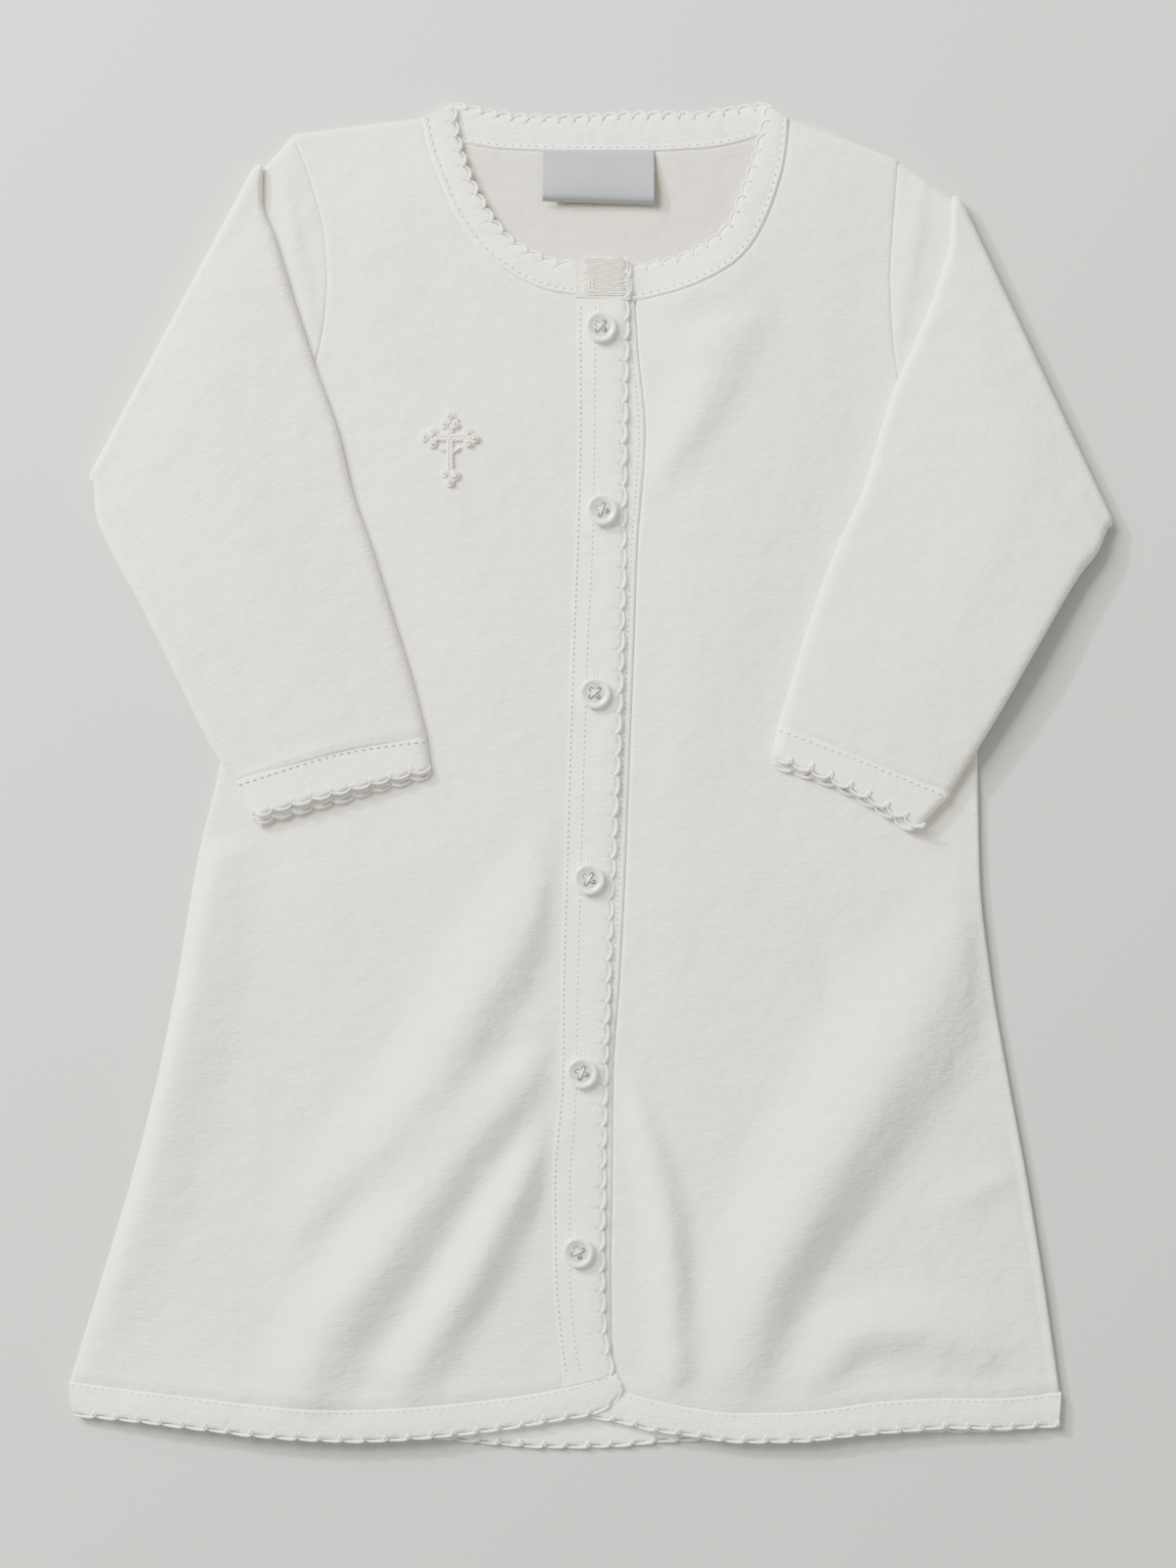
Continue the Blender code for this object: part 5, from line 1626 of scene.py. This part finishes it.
def turned_faces(rings, sides, start):
    """Faces between rings of points that follow each other, with a cap at each end."""
    faces = []
    for ring in range(rings - 1):
        for k in range(sides):
            a = start + ring * sides + k
            b = start + ring * sides + (k + 1) % sides
            faces.append((a, b, b + sides, a + sides))
    faces.append(tuple(range(start + sides - 1, start - 1, -1)))
    faces.append(tuple(range(start + (rings - 1) * sides, start + rings * sides)))
    return faces


def scratch_object(name, points, faces):
    mesh = bpy.data.meshes.new(name)
    mesh.from_pydata((np.asarray(points) * MM).tolist(), [], faces)
    made = bpy.data.objects.new(name, mesh)
    bpy.context.scene.collection.objects.link(made)
    return made


def button_shape():
    """A turned button with a round rim, a dish and four holes, cut from its blank."""
    last = len(BUTTON_PROFILE) - 1
    profile = rows_at(BUTTON_PROFILE, np.arange(last + 1), np.linspace(0, last, BUTTON_RINGS))
    rings = [
        ring_of_points((0.0, 0.0), BUTTON_RADIUS * radius, BUTTON_HEIGHT * height, BUTTON_SIDES)
        for radius, height in profile
    ]
    faces = turned_faces(len(rings), BUTTON_SIDES, 0)
    blank = scratch_object("button_blank", np.concatenate(rings), faces)
    rods, faces = [], []
    half = BUTTON_HOLE_SPACING / 2.0
    for centre in ((-half, -half), (half, -half), (half, half), (-half, half)):
        faces += turned_faces(2, HOLE_SIDES, len(rods) * HOLE_SIDES)
        for level in (-DRILL_PAST, BUTTON_HEIGHT + DRILL_PAST):
            rods.append(ring_of_points(centre, BUTTON_HOLE_RADIUS, level, HOLE_SIDES))
    drill = scratch_object("button_drill", np.concatenate(rods), faces)
    cut = blank.modifiers.new("holes", "BOOLEAN")
    cut.object = drill
    cut.operation = "DIFFERENCE"
    built = blank.evaluated_get(bpy.context.evaluated_depsgraph_get())
    shape = bpy.data.meshes.new_from_object(built)
    for scrap in (blank, drill):
        bpy.data.objects.remove(scrap)
    shape.shade_smooth()
    shape.set_sharp_from_angle(angle=math.radians(BUTTON_SHARP))
    return shape


def buttons():
    """Six buttons, each turned its own way and sewn on with a cross of thread."""
    shape = button_shape()
    shape.materials.append(pearl_material("button_rim", RIM_TONES))
    shape.materials.append(pearl_material("button_dish_shade", DISH_SHADE_TONES))
    dish, bottom = DISH_SHARE * BUTTON_RADIUS * MM, DISH_BOTTOM * MM
    # Faces in the dish take the darker pearl: painted shade in the hollow
    for polygon in shape.polygons:
        if math.hypot(*polygon.center[:2]) < dish and polygon.center[2] > bottom:
            polygon.material_index = 1
    bars, made = [], []
    half = BUTTON_HOLE_SPACING / 2.0
    for number, (x, y, turn) in enumerate(BUTTON_TURNS, start=1):
        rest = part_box(f"button_{number}")[0][2] - BUTTON_SINK * MM
        piece = bpy.data.objects.new(f"pearl_button_{number}", shape)
        bpy.context.scene.collection.objects.link(piece)
        piece.location = ((x + SHIFT[0]) * MM, (y + SHIFT[1]) * MM, rest)
        piece.rotation_euler = (0.0, 0.0, math.radians(turn))
        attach(piece, "root")
        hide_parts(f"button_{number}")
        made.append(piece)
        c, s = math.cos(math.radians(turn)), math.sin(math.radians(turn))
        for way in (-1.0, 1.0):
            bar = []
            for share, z in THREAD_BAR:
                u, v = share * half * way, share * half
                bar.append((x + u * c - v * s, y + u * s + v * c, rest / MM + z + BAR_CROSSING * way))
            bars.append((bar, [BAR_RADIUS] * len(THREAD_BAR)))
    made.append(strands("button_thread", bars, thread_material("button_thread", EDGING_TONES)))
    return made


def label():
    """A bare satin label, held under the neckband, its lower edge lifted and curled over."""
    (left, bottom), (right, top) = LABEL_BOX
    top = top + LABEL_TUCK
    down = places(top - bottom, LABEL_ROWS, LABEL_STEPS)
    x, y = np.meshgrid(left + LABEL_ACROSS, top - down)
    share = (top - y) / (top - bottom)
    ripple = LABEL_RIPPLE * np.sin((x - left) / LABEL_RIPPLE_WIDTH) * share
    rise = FRONT_REST + LABEL_LIFT * soft(share * LABEL_LIFT_SHARE) + ripple
    rise = rise - LABEL_SUNK * soft(1.0 - (top - y) / LABEL_SUNK_RAMP)
    rise = rise - edge_drop(y - bottom, LABEL_CURL, LABEL_CURL_DEPTH)
    side = np.minimum(x - left, right - x)
    high = rise + LABEL_WALL - edge_drop(np.maximum(side, 0.0), *LABEL_ROUND)
    plan = np.dstack([x, y - LABEL_SLOPE * (x - left) * share])
    return shell("satin_label", plan, rise, high, satin_material("satin_label"))


def neck_tab(seed):
    """The neckband's closely stitched end: a padded piece with rows of thread laid over it."""
    rng = np.random.default_rng(seed)
    rows = band_rows(NECK_TAB, TAB_SAMPLES)
    rows[0, [0, 2]] -= TAB_REACH
    plan = []
    for row in rows:
        start, end = row[:2], row[2:]
        total = float(np.linalg.norm(end - start))
        notch = TAB_NOTCH * sum(bell(start[0] - x, TAB_NOTCH_WIDTH) for x in TAB_NOTCHES)
        at = places(total + TAB_REACH - notch, TAB_COLUMNS, BAND_STEPS) - TAB_REACH
        plan.append(start + (end - start) * (at / total)[:, None])
    plan = np.array(plan)
    low = on_right(plan[..., 0], plan[..., 1])
    from_edge = np.minimum(np.arange(plan.shape[1]), np.arange(plan.shape[1])[::-1])[None, :]
    high = low + BAND_WALL + TAB_RISE - TAB_ROUND * np.exp(-from_edge / TAB_ROUND_STEPS)
    material = knit_material("stitched_tab", 0.0, CREAM_TONES)
    cloth = shell("stitched_tab", plan, low, high, material)
    made = []
    for y in np.arange(*TAB_THREADS):
        left = TAB_LEFT[0] + TAB_LEFT[1] * rng.random()
        right = TAB_RIGHT[0] + TAB_RIGHT[1] * rng.random()
        x = np.linspace(left, right, TAB_RINGS)
        wander = y + TAB_WANDER * rng.standard_normal(TAB_RINGS)
        level = on_right(x, wander) + BAND_WALL + TAB_RISE + TAB_LEVEL[0]
        level = level + TAB_LEVEL[1] * rng.random(TAB_RINGS)
        level[[0, -1]] -= TAB_DIP
        radii = TAB_RADIUS[0] + TAB_RADIUS[1] * rng.random(TAB_RINGS)
        made.append((np.column_stack([x, wander, level]), radii))
    for x in UPRIGHTS:
        y = np.linspace(*UPRIGHT_SPAN, TAB_RINGS)
        level = on_right(np.full(TAB_RINGS, x), y) + BAND_WALL + TAB_RISE + UPRIGHT_LEVEL
        wander = x + UPRIGHT_WANDER * rng.standard_normal(TAB_RINGS)
        made.append((np.column_stack([wander, y, level]), np.full(TAB_RINGS, UPRIGHT_RADIUS)))
    return [cloth, strands("tab_thread", made, thread_material("tab_thread", CREAM_TONES))]


def bullion(x, y, heading, length, radius, rng):
    """A bullion knot: thread wound round itself, fat in the middle, lying on the cloth."""
    turn = math.radians(heading + BULLION_SWAY * rng.standard_normal())
    steps = np.linspace(-0.5, 0.5, KNOT_RINGS)
    arch = 1.0 - (2.0 * steps) ** 2
    line_x = x + steps * length * math.cos(turn)
    line_y = y + steps * length * math.sin(turn)
    wraps = 1.0 + BULLION_WRAP * np.where(np.arange(KNOT_RINGS) % 2 == 0, 1.0, -1.0)
    ends, belly = BULLION_TAPER
    thick = radius * (ends + belly * np.sqrt(np.maximum(arch, 0.0))) * wraps
    level = on_right(line_x, line_y) + WALL + radius * BULLION_ARCH * arch
    return np.column_stack([line_x, line_y, level]), thick


def round_knot(x, y, size, rng):
    """A round knot: thread coiled from its rim up to its middle."""
    share = np.linspace(0.0, 1.0, KNOT_RINGS)
    turn = 2.0 * math.pi * (rng.random() + KNOT_TURNS * share)
    away = size * (1.0 - KNOT_CLOSING * share)
    line_x = x + away * np.cos(turn)
    line_y = y + away * np.sin(turn)
    level = on_right(line_x, line_y) + WALL + KNOT_LEVEL + KNOT_RISE * size * share
    return np.column_stack([line_x, line_y, level]), np.full(KNOT_RINGS, KNOT_THICK * size)


def embroidery(seed):
    """A cross worked in thread, with a bud of round knots at the end of each arm."""
    rng = np.random.default_rng(seed)
    place = np.array(CROSS_PLACE)
    made = [round_knot(*place, MIDDLE_KNOT, rng)]
    for aside, below in LEAF_KNOTS:
        spot = place + (aside, -below)
        made.append(bullion(*spot, math.copysign(LEAF_HEADING, aside), *LEAF_SIZE, rng))
    for heading, reach in CROSS_ARMS:
        turn = math.radians(heading)
        across = np.array([math.cos(turn), math.sin(turn)])
        out = np.array([-math.sin(turn), math.cos(turn)])
        for aside, on, size in BUD_KNOTS:
            spot = place + across * aside + out * (reach + on)
            spot = spot + BUD_SWAY * rng.standard_normal(2)
            made.append(round_knot(*spot, BUD_SIZE * size, rng))
        for away in np.arange(ARM_START, reach - ARM_END, ARM_STEP):
            for aside in (-ARM_ASIDE, ARM_ASIDE):
                spot = place + out * away + across * aside
                made.append(bullion(*spot, heading + 90.0 + ARM_SPLAY * aside, *ARM_SIZE, rng))
    return strands("knotted_cross", made, thread_material("knotted_cross", THREAD_TONES), KNOT_SIDES)


def buttonholes():
    """The ends of each buttonhole, two lips of close stitches above and below its button."""
    made = []
    across, sag, radii = np.array(LIP_SHAPE).T
    for x, y, _ in BUTTON_TURNS:
        for side, far in LIP_REACH:
            for lip in (-LIP_ASIDE, LIP_ASIDE):
                for away in np.arange(BUTTON_RADIUS - LIP_UNDER, far, LIP_PITCH):
                    line_x = x + lip + across
                    line_y = np.full(len(across), y + side * away)
                    level = on_right(line_x, line_y) + BAND_WALL + sag
                    made.append((np.column_stack([line_x, line_y, level]), radii))
    thread = thread_material("buttonhole_thread", EDGING_TONES)
    return strands("buttonhole_thread", made, thread, STITCH_SIDES)


# Surroundings


def floor():
    """A plain pale surface just under the gown."""
    size = FLOOR_SIZE / 2.0
    points = [(x * size, y * size, FLOOR_LEVEL) for x, y in ((-1, -1), (1, -1), (1, 1), (-1, 1))]
    made = scratch_object("floor", points, [(0, 1, 2, 3)])
    made.data.materials.append(new_material("floor", FLOOR_TONES, **FLOOR_FINISH)[0])


def light(name, direction, distance, size, power):
    """A soft square lamp that looks at the gown."""
    lamp = bpy.data.lights.new(name, "AREA")
    lamp.size = size
    lamp.energy = power
    made = bpy.data.objects.new(name, lamp)
    way = np.array(direction) / np.linalg.norm(direction)
    made.location = way * distance
    made.rotation_euler = (0.0, math.acos(way[2]), math.atan2(way[1], way[0]))
    bpy.context.scene.collection.objects.link(made)


def surroundings():
    floor()
    for lamp in LAMPS:
        light(*lamp)
    world = bpy.data.worlds.new("studio")
    world.use_nodes = True
    sky = world.node_tree.nodes["Background"]
    sky.inputs["Color"].default_value = (1.0, 1.0, 1.0, 1.0)
    sky.inputs["Strength"].default_value = SKY_STRENGTH
    bpy.context.scene.world = world


def camera():
    """Straight down, so that the frame's long side takes in a known length of the table."""
    lens = bpy.data.cameras.new("camera")
    lens.lens = CAMERA_LENS
    lens.sensor_width = SENSOR
    made = bpy.data.objects.new("camera", lens)
    x, y = np.array(CAMERA_PLACE) + SHIFT
    height = FRAME_LENGTH * CAMERA_LENS / SENSOR + CAMERA_LEVEL
    made.location = (x * MM, y * MM, height * MM)
    bpy.context.scene.collection.objects.link(made)
    bpy.context.scene.camera = made


# The whole gown


def right_placket_x(y):
    return side_of(PLACKET_RIGHT, 0, y)


def left_placket_x(y):
    return side_of(PLACKET_LEFT, 2, y) + PLACKET_CLEAR


def relief_right(x, y):
    return fold_height(SLEEVE_FOLDS_RIGHT, x, y) + read_map(RIPPLE_MAP, y, x)


def relief_left(x, y):
    return fold_height(SLEEVE_FOLDS_LEFT, x, y) + read_map(RIPPLE_MAP, -y, x)


def panels(cuffs):
    """Every piece of cloth, by its node."""
    made = {"back": back()}
    for name, *form in (
        ("front_right", ARMHOLE_RIGHT, SIDE_RIGHT, NECK_RUN_RIGHT, NECK_RIGHT,
         right_placket_x, HEM_RIGHT, on_right, RIM_RIGHT_WIDTH, False),
        ("front_left", ARMHOLE_LEFT, SIDE_LEFT, NECK_RUN_LEFT, NECK_LEFT[:0:-1],
         left_placket_x, HEM_LEFT, on_left, RIM_LEFT_WIDTH, True),
    ):
        made[name] = front(name, *form)
    for name, *form in (
        ("sleeve_right", ARMHOLE_RIGHT, CREASE_RIGHT, SLEEVE_RIGHT_UPPER_EDGE, SLEEVE_RIGHT_UNDER_EDGE,
         cuffs[0], SLEEVE_LIFT_RIGHT, -1.0, relief_right, TURN_RIGHT),
        ("sleeve_left", ARMHOLE_LEFT, CREASE_LEFT, SLEEVE_LEFT_UPPER_EDGE, SLEEVE_LEFT_UNDER_EDGE,
         cuffs[1], SLEEVE_LIFT_LEFT, 1.0, relief_left, TURN_LEFT),
    ):
        made[name] = sleeve(name, *form)
    made["cuff_right"] = cuff("cuff_right", cuffs[0], SLEEVE_LIFT_RIGHT, TURN_RIGHT)
    made["cuff_left"] = cuff("cuff_left", cuffs[1], SLEEVE_LIFT_LEFT, TURN_LEFT)
    for name, *form in BANDS:
        made[name] = band(name, *form)
    made["placket_left"] = underlap()
    return made


def seams(cuffs):
    """Every row of stitches, by the piece that it is sewn through."""
    dots = [
        along([(row[column], row[2]) for row in PLACKET_STITCHES], PLACKET_SAMPLES)
        for column in (0, 1)
    ]
    cuff_lines = [line_beside(cuff_rows(lines, 1), CUFF_STITCH_INSET) for lines in cuffs]
    cuff_levels = [
        cuff_level(lines, lift, 1)
        for lines, lift in zip(cuffs, (SLEEVE_LIFT_RIGHT, SLEEVE_LIFT_LEFT))
    ]
    made = {}
    # Each row's grey tones are painted shade of its needle holes, not the thread's own colour
    for piece, name, lines, kind, surface, level, tones in (
        ("hem_right", "hem_stitches_right", [line_beside(HEM_RIGHT, HEM_INSET)],
         HEM_KIND, on_right, BAND_WALL - HEM_SUNK, STITCH_SHADE_TONES),
        ("hem_left", "hem_stitches_left", [line_beside(HEM_LEFT, HEM_INSET)],
         HEM_KIND, on_left, BAND_WALL - HEM_SUNK, STITCH_SHADE_TONES),
        ("placket_right", "placket_stitches", dots,
         PLACKET_KIND, on_right, BAND_WALL - DOT_SUNK, FAINT_STITCH_SHADE_TONES),
        ("placket_left", "underlap_stitches", [line_beside(PLACKET_LEFT, UNDERLAP_GROOVE[0], side=2)],
         UNDERLAP_KIND, on_left, BAND_WALL - NECK_SUNK, STITCH_SHADE_TONES),
        ("neckband_right", "neck_stitches_right", [line_beside(NECK_RIGHT, NECK_GROOVE[0])],
         NECK_KIND, on_right, BAND_WALL - NECK_SUNK, STITCH_SHADE_TONES),
        ("neckband_left", "neck_stitches_left", [line_beside(NECK_LEFT, NECK_GROOVE[0])],
         NECK_KIND, on_left, BAND_WALL - NECK_SUNK, STITCH_SHADE_TONES),
        ("neckband_back", "neck_stitches_back", [line_beside(NECK_BACK, NECK_BACK_INSET)],
         NECK_BACK_KIND, lying, WALL - NECK_SUNK, STITCH_SHADE_TONES),
        ("cuff_right", "cuff_stitches_right", cuff_lines[:1],
         CUFF_KIND, cuff_levels[0], BAND_WALL - CUFF_SUNK, STITCH_SHADE_TONES),
        ("cuff_left", "cuff_stitches_left", cuff_lines[1:],
         CUFF_KIND, cuff_levels[1], BAND_WALL - CUFF_SUNK, FAINT_STITCH_SHADE_TONES),
    ):
        rows = [row for line in lines for row in stitch_row(line, kind, surface, level)]
        made[piece] = strands(name, rows, thread_material(name, tones), STITCH_SIDES)
    return made


def edgings(cuffs):
    """The edging of every band, by the piece whose edge it binds."""
    made = {}
    for seed, (name, table, pitch, surface, *_) in enumerate(BANDS):
        reach, depth = PEAK_REACH[pitch], SCALLOP_DEPTH[pitch]
        thick = ROPE if pitch == PLACKET_PITCH else 1.0
        made[name] = edging(f"edging_{name}", [(table, pitch, surface)], seed, reach, depth, thick)
    for seed, (name, lines, lift) in enumerate((
        ("cuff_right", cuffs[0], SLEEVE_LIFT_RIGHT),
        ("cuff_left", cuffs[1], SLEEVE_LIFT_LEFT),
    )):
        parts = [
            (cuff_rows(lines, layer), PLACKET_PITCH, cuff_level(lines, lift, layer))
            for layer in (1, 2)
        ]
        made[name] = edging(f"edging_{name}", parts, CUFF_SEED + seed, 1.0, CUFF_SCALLOP)
    tab_side = [(x - TAB_EDGE_WIDTH, y, x, y) for x, y in TAB_SIDE]
    made["neck_tab"] = edging(
        "edging_neck_tab", [(tab_side, PLACKET_PITCH, on_right)],
        TAB_EDGE_SEED, TAB_EDGE_REACH, TAB_EDGE_DEPTH, ROPE,
    )
    return made


def main():
    cuffs = [longer(lines) for lines in (CUFF_RIGHT, CUFF_LEFT)]
    cloth = panels(cuffs)
    sewn = seams(cuffs)
    bound = edgings(cuffs)
    tab, tab_thread = neck_tab(TAB_SEED)
    satin = label()
    cross = embroidery(CROSS_SEED)
    sewn_buttons = buttons()
    holes = buttonholes()
    for name, piece in cloth.items():
        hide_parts(name)
    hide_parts("neck_tab")
    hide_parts("label")
    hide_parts("embroidery")
    for name, (width, length, held, rests_on) in CUTS.items():
        pieces = [group[name] for group in (sewn, bound) if name in group]
        if name == "placket_right":
            pieces += [holes, *sewn_buttons]
    surroundings()
    camera()


main()
